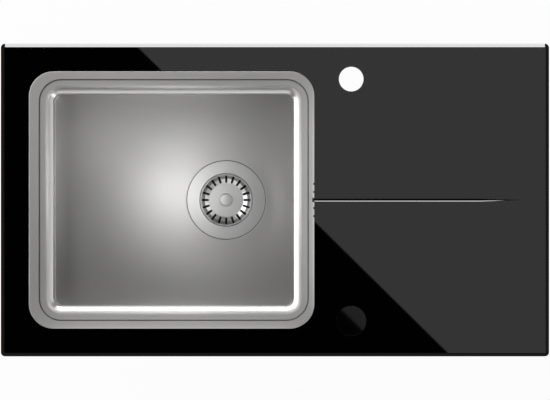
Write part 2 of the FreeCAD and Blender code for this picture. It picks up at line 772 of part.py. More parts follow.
def waste_body():
    """Pot with a shoulder for the spider, a cone and a socket for the tail."""
    wall, inner = mm("body_wall"), mm("body_radius")
    outer = inner + wall
    socket = mm("tail_radius") - mm("tail_step") + mm("thread_clear")
    socket_low = cone_low - mm("tail_entry")
    flange_under = body_top - mm("body_flange_thick")
    body = turned("waste_body", [
        (socket, socket_low),
        (socket + wall, socket_low),
        (socket + wall, cone_low - wall),
        (outer, -mm("body_depth") - wall),
        (outer, flange_under),
        (mm("body_flange_radius"), flange_under),
        (mm("body_flange_radius"), body_top),
        (body_inner, body_top),
        (body_inner, -mm("spider_depth")),
        (inner, -mm("spider_depth")),
        (inner, -mm("body_depth")),
        (mm("tail_bore"), cone_low),
        (socket, cone_low),
    ], *WASTE)
    lever_boss(body)
    overflow_spigot(body)
    return body


def waste_tail():
    """Outlet tube, with a narrower end that is glued into the body's socket."""
    outer, bore = mm("tail_radius"), mm("tail_bore")
    neck = outer - mm("tail_step")
    low, shoulder = cone_low - mm("tail_length"), cone_low - mm("tail_entry") - mm("tail_relief")
    return turned("waste_tail", [
        (bore, low),
        (outer, low),
        (outer, shoulder),
        (neck, shoulder),
        (neck, cone_low),
        (bore, cone_low),
    ], *WASTE)


def waste_spider():
    """Two crossed ribs and a hub that the clamp bolt pulls up against the body's shoulder."""
    outer = mm("body_radius") - mm("thread_clear")
    rib, height = mm("spider_rib"), mm("spider_height")
    low = ring_high + spider_low
    blank = fuse("spider_blank", [
        make_box(2 * outer, rib, height, waste_x - outer, -rib / 2, low),
        make_box(rib, 2 * outer, height, waste_x - rib / 2, -outer, low),
        make_cylinder(mm("spider_hub_radius"), height, waste_x, 0, low),
    ])
    form = common("spider_form", blank, make_cylinder(outer, height, waste_x, 0, low))
    hole = mm("bolt_radius") + mm("thread_clear")
    return bored("waste_spider", form, hole, height, waste_x, 0, low, "Z")


def lever_boss(body):
    """Boss for the lever shaft on the front of the body, with a counterbore for its seal."""
    reach = mm("boss_reach")
    place_x, place_z = mm("arm_length"), -mm("shaft_depth")
    middle, side = mm("body_radius") + mm("body_wall") / 2, place_x + mm("boss_radius")
    start = root(middle * middle - side * side)
    sketch = new_sketch(body, "XZ_Plane", start)
    draw_circle(sketch, mm("boss_radius"), place_x, place_z)
    pad(body, sketch, reach - start)
    bore = mm("shaft_radius") + mm("running_gap")
    for radius, depth in ((bore, reach), (mm("shaft_seal_radius"), mm("shaft_seal_length"))):
        sketch = new_sketch(body, "XZ_Plane", reach)
        draw_circle(sketch, radius, place_x, place_z)
        pocket(body, sketch, depth)


def overflow_spigot(body):
    inner = mm("pipe_radius") + mm("pipe_clear")
    start = mm("body_radius") + mm("body_wall") / 2
    sketch = new_sketch(body, "YZ_Plane", start)
    draw_circle(sketch, inner + mm("socket_wall"), 0, -mm("spigot_depth"))
    pad(body, sketch, mm("spigot_reach") - start)
    sketch = new_sketch(body, "YZ_Plane", mm("spigot_reach"))
    draw_circle(sketch, inner, 0, -mm("spigot_depth"))
    pocket(body, sketch, mm("spigot_reach") - body_inner + mm("body_wall"))


# Basket
def basket_cup():
    """Slotted cup: a flat floor, a shallow cone up to its waist and a steep wall up to its rim."""
    sheet, floor, mouth = mm("basket_sheet"), mm("basket_floor_radius"), mm("basket_mouth_radius")
    waist, waist_low = mm("basket_waist_radius"), -mm("basket_waist_depth")
    hole = mm("stud_radius") + mm("stud_clear")
    body = turned("basket_cup", [
        (hole, -mm("basket_depth") - sheet),
        (floor + sheet / 2, -mm("basket_depth") - sheet),
        (waist + sheet, waist_low - sheet),
        (mouth + sheet, -mm("basket_rim_drop") - sheet),
        (mm("basket_rim_radius"), -mm("basket_rim_drop") - sheet),
        (mm("basket_rim_radius"), -mm("basket_rim_drop")),
        (mouth, -mm("basket_rim_drop")),
        (waist, waist_low),
        (floor, -mm("basket_depth")),
        (hole, -mm("basket_depth")),
    ], *WASTE)
    sketch = new_sketch(body)
    length = mm("slot_outer") - mm("slot_inner")
    draw_rectangle(sketch, length, mm("slot_width"), mm("slot_width") * 0.45, mm("slot_inner") + length / 2)
    slot = pocket(body, sketch, mm("basket_depth") + 4 * sheet)
    polar(body, slot, mm("slot_count"))
    return body


def basket_button():
    """Button to lift the basket by, with a neck and a stud through floor and stopper."""
    floor = -mm("basket_depth")
    under = floor + mm("button_height") - mm("button_edge") - mm("button_crown")
    high = under + mm("button_edge")
    low = floor - mm("basket_sheet") - mm("stopper_drop")
    body = new_body("basket_button", *WASTE)
    sketch = new_sketch(body, "XZ_Plane")
    draw_dome(sketch, mm("button_radius"), under, high, mm("button_crown"))
    revolve(body, sketch)
    fillet(body, mm("button_edge") / 3, circle_edges(body, high, mm("button_radius")))
    for radius, bottom in ((mm("button_neck"), floor), (mm("stud_radius"), low)):
        sketch = new_sketch(body, offset=bottom)
        draw_circle(sketch, radius)
        pad(body, sketch, under - bottom)
    return body


def basket_stopper():
    """Rubber disc whose lip stands off the dish's conical seat by a named clearance."""
    high = -mm("basket_depth") - mm("basket_sheet")
    low = high - mm("stopper_drop")
    slope = (mm("throat_radius") - mm("seat_radius")) / (mm("seat_depth") - mm("throat_depth"))
    lip = mm("throat_radius") - (-low - mm("throat_depth")) * slope - mm("stopper_clear")
    hole = mm("stud_radius") + mm("stud_clear")
    return turned("basket_stopper", [
        (hole, low),
        (lip, low),
        (lip, low + mm("stopper_lip")),
        (mm("stopper_flat"), high),
        (hole, high),
    ], *WASTE)


stopper_low = -mm("basket_depth") - mm("basket_sheet") - mm("stopper_drop")
stem_low = stopper_low - mm("stem_flange_height") - mm("stem_length")


def basket_stem():
    flange_under = stopper_low - mm("stem_flange_height")
    return turned("basket_stem", [
        (0, stem_low),
        (mm("stem_radius"), stem_low),
        (mm("stem_radius"), flange_under),
        (mm("stem_flange_radius"), flange_under),
        (mm("stem_flange_radius"), stopper_low),
        (0, stopper_low),
    ], *WASTE)


# Lift gear
pin_low = -mm("shaft_depth") - mm("lift_height") / 2 + mm("arm_tip_radius") + mm("running_gap")


def lift_pin():
    high = stem_low - mm("running_gap")
    return turned("lift_pin", [
        (0, pin_low),
        (mm("stem_radius"), pin_low),
        (mm("stem_radius"), high),
        (0, high),
    ], *WASTE)


shaft_x = waste_x + mm("arm_length")
shaft_z = ring_high - mm("shaft_depth")
stop_y = -mm("boss_reach") - mm("stop_thick")
nut_y = stop_y - mm("gland_nut_thick")
crank_y = nut_y - mm("running_gap") * 3 - mm("crank_thick")
shaft_end_y = crank_y - mm("crank_thick")


def lever_shaft():
    length = mm("shaft_inner_end") - shaft_end_y
    shaft = make_cylinder(mm("shaft_radius"), length, shaft_x, shaft_end_y, shaft_z, "Y")
    shaft.Label = "lever_shaft"
    return shaft


def arm_on_shaft(label, form, width, low_y, turn):
    """Bores an arm for the shaft and turns it to its rest angle."""
    bore = make_cylinder(mm("shaft_radius") + mm("shaft_fit"), width + 2, 0, low_y - 1, 0, "Y")
    arm = cut(label, form, bore)
    arm.Placement = Placement(Vector(), Rotation(Vector(0, 1, 0), 1))
    bind(arm, "Placement.Rotation.Angle", turn)
    return place(arm, shaft_x, 0, shaft_z)


def lift_arm():
    """Arm inside the body, reaching from the shaft to under the lift pin."""
    thick, length, depth = mm("arm_thick"), mm("arm_length"), mm("arm_depth")
    pieces = [
        make_cylinder(mm("arm_hub_radius"), thick, 0, -thick / 2, 0, "Y"),
        make_box(length, thick, depth, -length, -thick / 2, -depth / 2),
        make_cylinder(mm("arm_tip_radius"), thick, -length, -thick / 2, 0, "Y"),
    ]
    return arm_on_shaft("lift_arm", fuse("lift_form", pieces), thick, -thick / 2, -lift_angle)


def crank_arm():
    """Arm outside the body that the cable pulls on."""
    thick, length, width = mm("crank_thick"), mm("crank_length"), mm("crank_width")
    pieces = [
        make_cylinder(width / 2, thick, 0, crank_y, 0, "Y"),
        make_box(width, thick, length, -width / 2, crank_y, 0),
        make_cylinder(width / 2, thick, 0, crank_y, length, "Y"),
    ]
    hole = make_cylinder(mm("crank_screw_radius") + mm("shaft_fit"), thick + 2, 0, crank_y - 1, length, "Y")
    form = cut("crank_blank", fuse("crank_form", pieces), hole)
    return arm_on_shaft("crank_arm", form, thick, crank_y, -lift_angle)


def crank_screw():
    """Clamping screw that holds the cable's end on the crank."""
    thick = mm("crank_thick")
    pieces = [
        make_cylinder(mm("crank_screw_radius"), thick * 2, 0, crank_y, mm("crank_length"), "Y"),
        make_hexagon(mm("crank_screw_head"), thick, 0, crank_y - thick, mm("crank_length"), "Y"),
    ]
    screw = fuse("crank_screw", pieces)
    screw.Placement = Placement(Vector(), Rotation(Vector(0, 1, 0), 1))
    bind(screw, "Placement.Rotation.Angle", -lift_angle)
    return place(screw, shaft_x, 0, shaft_z)


def bored(label, blank, radius, height, x, y, z, along):
    """A blank with a round hole right through it."""
    return cut(label, blank, make_cylinder(radius, height, x, y, z, along))


def shaft_seal():
    length = mm("shaft_seal_length")
    start = -mm("boss_reach")
    blank = make_cylinder(mm("shaft_seal_radius"), length, shaft_x, start, shaft_z, "Y")
    inner = mm("shaft_radius") + mm("running_gap")
    return bored("shaft_seal", blank, inner, length, shaft_x, start, shaft_z, "Y")


def gland_nut():
    thick = mm("gland_nut_thick")
    blank = make_hexagon(mm("gland_nut_radius"), thick, shaft_x, nut_y, shaft_z, "Y")
    inner = mm("shaft_radius") + mm("running_gap")
    return bored("gland_nut", blank, inner, thick, shaft_x, nut_y, shaft_z, "Y")


def cable_stop():
    """Steel plate under the gland nut, with an ear turned forward that holds the cable gland."""
    thick, reach = mm("stop_thick"), mm("stop_reach")
    plate = make_box(reach + mm("boss_radius"), thick, mm("stop_height"),
                     shaft_x - mm("boss_radius"), stop_y, shaft_z - mm("boss_radius"))
    rise = make_box(thick, thick, mm("crank_length") + mm("stop_ear") / 2,
                    shaft_x + reach - thick, stop_y, shaft_z)
    ear = make_box(thick, stop_y - crank_y + mm("stop_ear"), mm("stop_ear"), shaft_x + reach - thick,
                   crank_y - mm("stop_ear"), shaft_z + mm("crank_length") - mm("stop_ear") / 2)
    inner = mm("shaft_radius") + mm("running_gap")
    hole = make_cylinder(inner, 2 * thick, shaft_x, stop_y - thick / 2, shaft_z, "Y")
    gland = make_cylinder(mm("cable_gland_radius") + mm("shaft_fit"), 2 * thick,
                          shaft_x + reach - 1.5 * thick, gland_y, gland_z, "X")
    form = fuse("cable_stop_form", [plate, rise, ear])
    return cut("cable_stop", form, fuse("cable_stop_holes", [hole, gland]))


gland_y = crank_y - mm("stop_ear") / 2
gland_z = shaft_z + mm("crank_length")


def tube(label, radius, bore, length, x, y, z, along):
    return bored(label, make_cylinder(radius, length, x, y, z, along), bore, length, x, y, z, along)


def cable_gland():
    start = shaft_x + mm("stop_reach") - mm("cable_gland_length") / 2
    return tube("cable_gland", mm("cable_gland_radius"), mm("cable_gland_bore"),
                mm("cable_gland_length"), start, gland_y, gland_z, "X")


# Overflow, in a frame on the inner face of the right wall
overflow_z = flange_high - mm("overflow_drop")
seat_x = mm("sheet") + mm("overflow_seal_thick")
pipe_x = mm("sheet") + mm("elbow_depth") / 2 + mm("overflow_seal_thick")
socket_radius = mm("pipe_radius") + mm("pipe_clear")


def overflow_grille():
    body = new_body("overflow_grille", wall_x, 0, overflow_z)
    sketch = new_sketch(body, "YZ_Plane", mm("sheet") - mm("grille_thick"))
    draw_circle(sketch, mm("overflow_radius") - mm("grille_clear"))
    draw_circle(sketch, mm("overflow_screw_radius") + mm("stud_clear"))
    pad(body, sketch, mm("grille_thick"))
    sketch = new_sketch(body, "YZ_Plane", mm("sheet"))
    draw_circle(sketch, mm("grille_hole_radius"), mm("grille_hole_circle"))
    hole = pocket(body, sketch, mm("grille_thick"))
    axis = (origin_item(body, "X_Axis"), [""])
    pattern = add_feature(body, "PolarPattern", Originals=[hole], Axis=axis, Angle=360)
    bind(pattern, "Occurrences", mm("grille_hole_count"))
    doc.recompute()
    return body


def overflow_seal():
    return tube("overflow_seal", mm("elbow_flange_radius"), mm("overflow_radius") + mm("grille_clear"),
                mm("overflow_seal_thick"), wall_x + mm("sheet"), 0, overflow_z, "X")


def overflow_elbow():
    """Chamber behind the wall: a seat for the grille, a flange, a closed back and a socket downward."""
    body = new_body("overflow_elbow", wall_x, 0, overflow_z)
    outer = mm("overflow_radius") - mm("grille_clear")
    inner = outer - mm("elbow_wall")
    depth = mm("elbow_depth")
    sketch = new_sketch(body, "YZ_Plane", mm("sheet"))
    draw_circle(sketch, outer)
    pad(body, sketch, depth)
    sketch = new_sketch(body, "YZ_Plane", seat_x)
    draw_circle(sketch, mm("elbow_flange_radius"))
    pad(body, sketch, mm("elbow_flange_thick"))
    sketch = new_sketch(body, "XY_Plane", -mm("elbow_drop"))
    draw_circle(sketch, socket_radius + mm("socket_wall"), pipe_x)
    pad(body, sketch, mm("elbow_drop"))
    sketch = new_sketch(body, "YZ_Plane", mm("sheet") + depth - mm("elbow_wall"))
    draw_circle(sketch, inner)
    draw_circle(sketch, mm("elbow_boss_radius"))
    pocket(body, sketch, depth - mm("elbow_wall"))
    sketch = new_sketch(body, "XY_Plane", -mm("elbow_drop"))
    draw_circle(sketch, socket_radius, pipe_x)
    pocket(body, sketch, mm("elbow_drop") - mm("elbow_boss_radius") - 1, upward=True)
    sketch = new_sketch(body, "YZ_Plane", mm("sheet"))
    draw_circle(sketch, mm("overflow_screw_radius") + mm("thread_clear"))
    pocket(body, sketch, mm("overflow_screw_length"), upward=True)
    return body


def overflow_screw():
    face = wall_x + mm("sheet") - mm("grille_thick")
    rise = mm("overflow_screw_rise")
    return fuse("overflow_screw", [
        make_cylinder(mm("overflow_screw_head"), rise, face - rise, 0, overflow_z, "X"),
        make_cylinder(mm("overflow_screw_radius"), mm("overflow_screw_length"), face, 0, overflow_z, "X"),
    ])


pipe_start_x = waste_x + mm("spigot_reach") - mm("pipe_entry")
pipe_low = ring_high - mm("spigot_depth")
pipe_top = overflow_z - mm("elbow_drop") + mm("pipe_entry")
pipe_centre_x = wall_x + pipe_x


def overflow_pipe():
    """Rigid pipe: a straight leg down, one bend and a straight leg to the waste body."""
    bend = mm("pipe_bend")
    body = new_body("overflow_pipe", pipe_centre_x, 0, pipe_low)
    height = pipe_top - pipe_low
    reach = pipe_centre_x - pipe_start_x
    spine = new_sketch(body, "XZ_Plane")
    centre = Vector(-number(bend), number(bend), 0)
    arc = Part.ArcOfCircle(Part.Circle(centre, Vector(0, 0, 1), number(bend)), -math.pi / 2, 0)
    down = spine.addGeometry(Part.LineSegment(Vector(0, number(height), 0), Vector(0, number(bend), 0)))
    turn = spine.addGeometry(arc)
    run = spine.addGeometry(Part.LineSegment(Vector(-number(bend), 0, 0), Vector(-number(reach), 0, 0)))
    constrain(spine, [
        ("Coincident", (down, 2, turn, 2), None),
        ("Coincident", (turn, 1, run, 1), None),
        ("Radius", (turn,), bend),
    ])
    constrain(spine, fixed_point(down, 1, 0, height) + fixed_point(down, 2, 0, bend))
    constrain(spine, fixed_point(run, 1, -bend, 0) + fixed_point(run, 2, -reach, 0))
    section = new_sketch(body, "XY_Plane", height)
    draw_circle(section, mm("pipe_radius"))
    draw_circle(section, mm("pipe_radius") - mm("pipe_wall"))
    add_feature(body, "AdditivePipe", Profile=section, Spine=(spine, []))
    doc.recompute()
    return body


def overflow_nuts():
    """Union nuts that hold the pipe in its two sockets."""
    radius, thick, cap = mm("union_radius"), mm("union_thick"), mm("union_cap")
    inner = socket_radius + mm("socket_wall") + mm("pipe_clear")
    collar = mm("pipe_radius") + mm("pipe_clear")
    lower_x = waste_x + mm("spigot_reach")
    upper_z = overflow_z - mm("elbow_drop")
    upper = make_hexagon(radius, thick, pipe_centre_x, 0, upper_z - cap)
    upper_hole = fuse("upper_nut_hole", [
        make_cylinder(inner, thick, pipe_centre_x, 0, upper_z),
        make_cylinder(collar, thick, pipe_centre_x, 0, upper_z - thick / 2),
    ])
    side = make_hexagon(radius, thick, lower_x + cap - thick, 0, pipe_low, "X")
    side_hole = fuse("side_nut_hole", [
        make_cylinder(inner, thick, lower_x - thick, 0, pipe_low, "X"),
        make_cylinder(collar, thick, lower_x - thick / 2, 0, pipe_low, "X"),
    ])
    return group("overflow_nuts", [cut("upper_nut", upper, upper_hole), cut("side_nut", side, side_hole)])


# Control knob, on its own vertical axis
KNOB = (hole_x, -hole_y, 0)
bush_low = glass_high + mm("bush_seal_thick") - mm("bush_length")
bush_high = glass_high + mm("bush_seal_thick") + mm("bush_flange_thick")
bush_radius = mm("hole_radius") - mm("bush_clear")
clip_ring_high = bush_low - mm("running_gap")
drum_high = clip_ring_high - mm("clip_ring_thick") - mm("drum_gap")
drum_low = drum_high - mm("drum_thick")
hub_bore = mm("spindle_radius") + mm("shaft_fit")
spindle_high = bush_high + mm("spindle_top")


def control_knob():
    body = new_body("control_knob", *KNOB)
    low = glass_high + mm("knob_gap")
    high = low + mm("knob_height")
    sketch = new_sketch(body, "XZ_Plane")
    draw_dome(sketch, mm("knob_radius"), low, high, mm("knob_crown"))
    revolve(body, sketch)
    fillet(body, mm("knob_round"), circle_edges(body, high, mm("knob_radius")))
    inside = bush_high + mm("running_gap")
    skirt = mm("knob_radius") - mm("knob_wall")
    for radius, depth in ((skirt, inside - low), (hub_bore, spindle_high - low)):
        sketch = new_sketch(body, offset=low)
        draw_circle(sketch, radius)
        pocket(body, sketch, depth, upward=True)
    return body


def knob_spindle():
    neck = mm("spindle_radius") - mm("clip_ring_thick") / 2
    ring_low = clip_ring_high - mm("clip_ring_thick")
    return turned("knob_spindle", [
        (0, drum_low),
        (mm("spindle_radius"), drum_low),
        (mm("spindle_radius"), ring_low),
        (neck, ring_low),
        (neck, clip_ring_high),
        (mm("spindle_radius"), clip_ring_high),
        (mm("spindle_radius"), spindle_high),
        (0, spindle_high),
    ], *KNOB)


def spindle_clip():
    inner = mm("spindle_radius") - mm("clip_ring_thick") / 2 + mm("shaft_fit")
    fit = mm("shaft_fit")
    low = clip_ring_high - mm("clip_ring_thick") + fit
    return ring("spindle_clip", inner, mm("clip_ring_radius"), low, clip_ring_high - fit, *KNOB)


def cable_drum():
    middle = (drum_high + drum_low) / 2
    groove = mm("drum_groove")
    return turned("cable_drum", [
        (hub_bore, drum_low),
        (mm("drum_radius"), drum_low),
        (mm("drum_radius"), middle - groove),
        (mm("drum_radius") - groove, middle),
        (mm("drum_radius"), middle + groove),
        (mm("drum_radius"), drum_high),
        (hub_bore, drum_high),
    ], *KNOB)


def knob_bush():
    bore = mm("spindle_radius") + mm("running_gap")
    flange_under = glass_high + mm("bush_seal_thick")
    return turned("knob_bush", [
        (bore, bush_low),
        (bush_radius, bush_low),
        (bush_radius, flange_under),
        (mm("bush_flange_radius"), flange_under),
        (mm("bush_flange_radius"), bush_high),
        (bore, bush_high),
    ], *KNOB)


def bush_seal():
    inner = bush_radius + mm("thread_clear")
    high = glass_high + mm("bush_seal_thick")
    return ring("bush_seal", inner, mm("bush_flange_radius"), glass_high, high, *KNOB)


def bush_washer():
    low = tray_low - mm("washer_thick")
    return ring("bush_washer", bush_radius + mm("running_gap"), mm("washer_radius"), low, tray_low, *KNOB)


def bush_nut():
    low = tray_low - mm("washer_thick") - mm("nut_thick")
    thick, thread = mm("nut_thick"), bush_radius + mm("thread_clear")
    blank = make_hexagon(mm("nut_radius"), thick, KNOB[0], KNOB[1], low)
    return bored("bush_nut", blank, thread, thick, KNOB[0], KNOB[1], low, "Z")


housing_low = drum_low - mm("housing_gap") - mm("housing_wall")
housing_radius = bush_radius + mm("stud_clear") + mm("housing_wall")
knob_gland_z = (drum_high + drum_low) / 2


def cable_housing():
    """Cup over the drum, gripping the bush's lower end, with a hole for its cable gland."""
    inner = bush_radius + mm("stud_clear")
    high = bush_low + mm("housing_grip")
    body = turned("cable_housing", [
        (0, housing_low),
        (housing_radius, housing_low),
        (housing_radius, high),
        (inner, high),
        (inner, housing_low + mm("housing_wall")),
        (0, housing_low + mm("housing_wall")),
    ], *KNOB)
    sketch = new_sketch(body, "YZ_Plane", -bush_radius + mm("housing_wall"))
    draw_circle(sketch, mm("cable_gland_radius") + mm("shaft_fit"), 0, knob_gland_z)
    pocket(body, sketch, 4 * mm("housing_wall"))
    return body


def knob_gland():
    start = KNOB[0] - bush_radius - mm("cable_gland_length")
    return tube("knob_gland", mm("cable_gland_radius"), mm("cable_gland_bore"),
                mm("cable_gland_length"), start, KNOB[1], knob_gland_z, "X")


# Clips, each drawn with its skirt wall at x = 0 and the worktop on its +X side
tongue_low = tray_low - mm("bracket_drop") - mm("bracket_height")
claw_high = -mm("worktop_thick") - mm("claw_tooth")
claw_low = claw_high - mm("claw_thick")


def bracket_form():
    width, thick = mm("bracket_width"), mm("bracket_thick")
    plate = make_box(thick, width, mm("bracket_height"), -thick, -width / 2, tongue_low)
    tongue = make_box(mm("bracket_reach"), width, thick, -mm("bracket_reach"), -width / 2, tongue_low)
    bore = mm("clip_screw_radius") + mm("clip_fit")
    hole = make_cylinder(bore, 3 * thick, -mm("clip_axis"), 0, tongue_low - thick)
    return cut("bracket_form", fuse("bracket_blank", [plate, tongue]), hole)


def screw_form():
    high = tongue_low + mm("bracket_thick") * 3
    head_high = claw_low - mm("clip_fit")
    shank = make_cylinder(mm("clip_screw_radius"), high - head_high, -mm("clip_axis"), 0, head_high)
    head_low = head_high - mm("clip_screw_head_height")
    head = make_hexagon(mm("clip_screw_head"), mm("clip_screw_head_height"), -mm("clip_axis"), 0, head_low)
    return fuse("screw_form", [shank, head])


def claw_form():
    """Swivelling claw: a tooth under the worktop, a plate round the screw and a heel under the tongue."""
    width, thick = mm("claw_width"), mm("claw_thick")
    heel = -mm("clip_axis") - mm("claw_heel")
    plate = make_box(mm("claw_reach") - heel, width, thick, heel, -width / 2, claw_low)
    tooth = make_box(thick, width, mm("claw_tooth"), mm("claw_reach") - thick, -width / 2, claw_high)
    rise = tongue_low - mm("running_gap") - claw_high
    back = make_box(thick, width / 2, rise, heel, -width / 4, claw_high)
    bore = mm("clip_screw_radius") + mm("clip_fit")
    hole = make_cylinder(bore, 3 * thick, -mm("clip_axis"), 0, claw_low - thick)
    return cut("claw_form", fuse("claw_blank", [plate, tooth, back]), hole)


def clip_places():
    """Where each clip sits on the skirt, and the turn that points it outward."""
    side = tray_width / 2 - mm("tray_sheet")
    end = tray_length / 2 - mm("tray_sheet")
    outer = tray_length / 2 - mm("clip_end_gap")
    rear = [(x, side, 90) for x in (-outer, 0, outer)]
    front = [(x, -side, -90) for x in (-outer, 0, outer)]
    return rear + [(end, 0, 0)] + front[::-1] + [(-end, 0, 180)]


def clips():
    places = clip_places()
    bracket, screw, claw = bracket_form(), screw_form(), claw_form()
    brackets = [copy_at(f"bracket_{index}", bracket, *spot) for index, spot in enumerate(places, 1)]
    screws = [copy_at(f"screw_{index}", screw, *spot) for index, spot in enumerate(places, 1)]
    claws = [copy_at(f"clip_claw_{index}", claw, *spot) for index, spot in enumerate(places, 1)]
    return [group("clip_brackets", brackets), group("clip_screws", screws)] + claws


def check_document():
    """Stops on any feature that failed and on any shape that isn't valid."""
    for item in doc.Objects:
        if "Invalid" in item.State or "Error" in item.State:
            raise RuntimeError(f"{item.Label} failed: {item.State}")
        if hasattr(item, "Shape") and not item.Shape.isNull() and not item.Shape.isValid():
            raise RuntimeError(f"{item.Label} has a shape that isn't valid")


def main():
    makers = [
        glass_top, worktop_seal, support_tray, bowl_gasket, bowl, sound_pads,
        strainer_dish, dish_seal, lower_seal, clamp_bolt,
        waste_body, waste_spider, waste_tail,
        basket_cup, basket_button, basket_stopper, basket_stem,
        lift_pin, lever_shaft, lift_arm, crank_arm, crank_screw,
        shaft_seal, gland_nut, cable_stop, cable_gland,
        overflow_grille, overflow_seal, overflow_elbow, overflow_screw, overflow_pipe, overflow_nuts,
        control_knob, knob_spindle, spindle_clip, cable_drum, knob_bush, bush_seal, bush_washer,
        bush_nut, cable_housing, knob_gland,
    ]
    nodes = [maker() for maker in makers] + clips()
    doc.recompute()
    check_document()
    os.makedirs("parts", exist_ok=True)
    for node in nodes:
        shape = node.Shape
        shape.exportStep(f"parts/{node.Label}.step")
        print(f"{node.Label}: {len(shape.Solids)} solids, {shape.Volume / 1000:.2f} cm3")


main()
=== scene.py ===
"""Looks of the glass-top kitchen sink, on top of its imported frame.

Lengths are metres, and only the sizes given to length() are written in millimetres.
"""

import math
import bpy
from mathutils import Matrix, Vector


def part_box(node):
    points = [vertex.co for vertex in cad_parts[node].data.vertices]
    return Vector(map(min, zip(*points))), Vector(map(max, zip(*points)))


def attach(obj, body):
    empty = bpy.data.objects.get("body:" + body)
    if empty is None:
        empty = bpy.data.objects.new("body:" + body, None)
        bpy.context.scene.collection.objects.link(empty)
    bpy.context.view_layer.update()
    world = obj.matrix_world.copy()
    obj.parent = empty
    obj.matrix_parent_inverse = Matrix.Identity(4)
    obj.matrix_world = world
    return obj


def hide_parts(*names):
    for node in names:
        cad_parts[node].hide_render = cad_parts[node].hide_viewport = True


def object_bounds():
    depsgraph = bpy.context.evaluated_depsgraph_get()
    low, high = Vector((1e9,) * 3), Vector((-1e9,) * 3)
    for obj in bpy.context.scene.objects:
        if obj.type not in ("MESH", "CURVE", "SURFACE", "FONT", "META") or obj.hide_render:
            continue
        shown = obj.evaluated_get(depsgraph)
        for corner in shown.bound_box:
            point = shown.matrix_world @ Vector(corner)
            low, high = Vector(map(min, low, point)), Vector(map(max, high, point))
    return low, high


bl_info = {
    "name": "Glass-top kitchen sink",
    "version": (1, 0, 0),
    "blender": (4, 5, 0),
    "location": "View3D > Sidebar > Sink",
    "description": "Dresses the sink's frame: steel bowl, basket waste, knob, glass, fittings and stage",
    "category": "Object",
}

import bmesh
import bpy
from bpy.props import FloatProperty, FloatVectorProperty, IntProperty, PointerProperty
from mathutils import Vector

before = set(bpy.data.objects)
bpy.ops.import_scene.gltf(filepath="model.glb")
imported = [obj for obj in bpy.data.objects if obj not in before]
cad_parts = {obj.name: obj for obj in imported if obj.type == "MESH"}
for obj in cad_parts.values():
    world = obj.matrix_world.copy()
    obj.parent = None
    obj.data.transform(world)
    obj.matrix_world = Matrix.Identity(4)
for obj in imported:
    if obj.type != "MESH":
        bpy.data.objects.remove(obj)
CAD_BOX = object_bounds()
MM = 0.001
TOUCHING = 1e-7

BOWL_LOW, BOWL_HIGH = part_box("bowl")
DISH_LOW, DISH_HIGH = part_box("strainer_dish")
KNOB_LOW, KNOB_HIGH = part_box("control_knob")
CUP_LOW, CUP_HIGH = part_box("basket_cup")
BUTTON_LOW, BUTTON_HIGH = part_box("basket_button")
GLASS_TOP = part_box("glass_top")[1][2]

FLANGE_TOP = BOWL_HIGH[2]
WASTE_X = (DISH_LOW[0] + DISH_HIGH[0]) / 2
RING_TOP = DISH_HIGH[2]
KNOB_X = (KNOB_LOW[0] + KNOB_HIGH[0]) / 2
KNOB_Y = (KNOB_LOW[1] + KNOB_HIGH[1]) / 2


def length(name, description, millimetres):
    return FloatProperty(name=name, description=description, default=millimetres * MM, unit="LENGTH",
                         precision=4)


def colour(name, description, default):
    return FloatVectorProperty(name=name, description=description, default=default, size=3, subtype="COLOR",
                               min=0.0, max=1.0)


def level(name, description, default):
    return FloatProperty(name=name, description=description, default=default, min=0.0)


def factor(name, description, default):
    return FloatProperty(name=name, description=description, default=default, subtype="FACTOR",
                         min=0.0, max=1.0)


class BowlSizes(bpy.types.PropertyGroup):
    """Sizes of the pressed steel bowl"""

    sheet: length("Sheet", "Thickness of the steel", 1.0)
    mouth_length: length("Mouth length", "Length inside the step of the rim", 384)
    mouth_width: length("Mouth width", "Width inside the step of the rim", 344)
    mouth_x: length("Mouth centre", "Middle of the mouth along the sink", -144)
    mouth_corner: length("Mouth corner", "Corner radius of the mouth", 32)
    flange_corner: length("Flange corner", "Corner radius of the flange", 35)
    flange_edge: length("Flange edge", "Rounding of the flange's outer edge", 0.45)
    step_drop: length("Step", "Drop from the flange to the ledge", 3)
    step_radius: length("Step radius", "Rounding of the step's edge", 0.2)
    groove_width: length("Groove width", "Width of the pressed line at the foot of the step", 1.5)
    groove_depth: length("Groove depth", "Depth of that line below the ledge", 2.2)
    crown_width: length("Crown width", "Width over which the flange's rim falls off", 3.5)
    crown_drop: length("Crown drop", "How far the flange's rim falls off", 0.15)
    ledge_width: length("Ledge", "Flat width between step and lip", 7)
    lip_width: length("Lip", "Width of the lip between ledge and wall", 13.5)
    lip_slope_width: length("Lip slope width", "Width of the lip's slope before rounding", 8)
    lip_slope_depth: length("Lip slope depth", "Depth of the lip's slope", 5.3)
    lip_radius: length("Lip radius", "Bend from the ledge into the slope", 16)
    lip_knee: length("Lip knee", "Bend from the slope into the wall", 0.5)
    cove_radius: length("Cove radius", "Bend from the wall into the floor", 0.8)
    depth: length("Depth", "From the flange to the edge of the floor", 182)
    ring_radius: length("Ring radius", "Flat ring of the floor round the waste", 62)
    recess_radius: length("Recess radius", "Seat of the strainer dish", 57.55)
    recess_depth: length("Recess depth", "Depth of that seat", 2.2)
    waste_radius: length("Waste hole", "Radius of the hole in the floor", 45)
    overflow_radius: length("Overflow hole", "Radius of the hole in the right wall", 19.3)
    overflow_drop: length("Overflow drop", "Overflow hole's axis below the flange", 42)
    notch_pitch: length("Notch pitch", "Distance between the drain notches of the flange", 11.5)


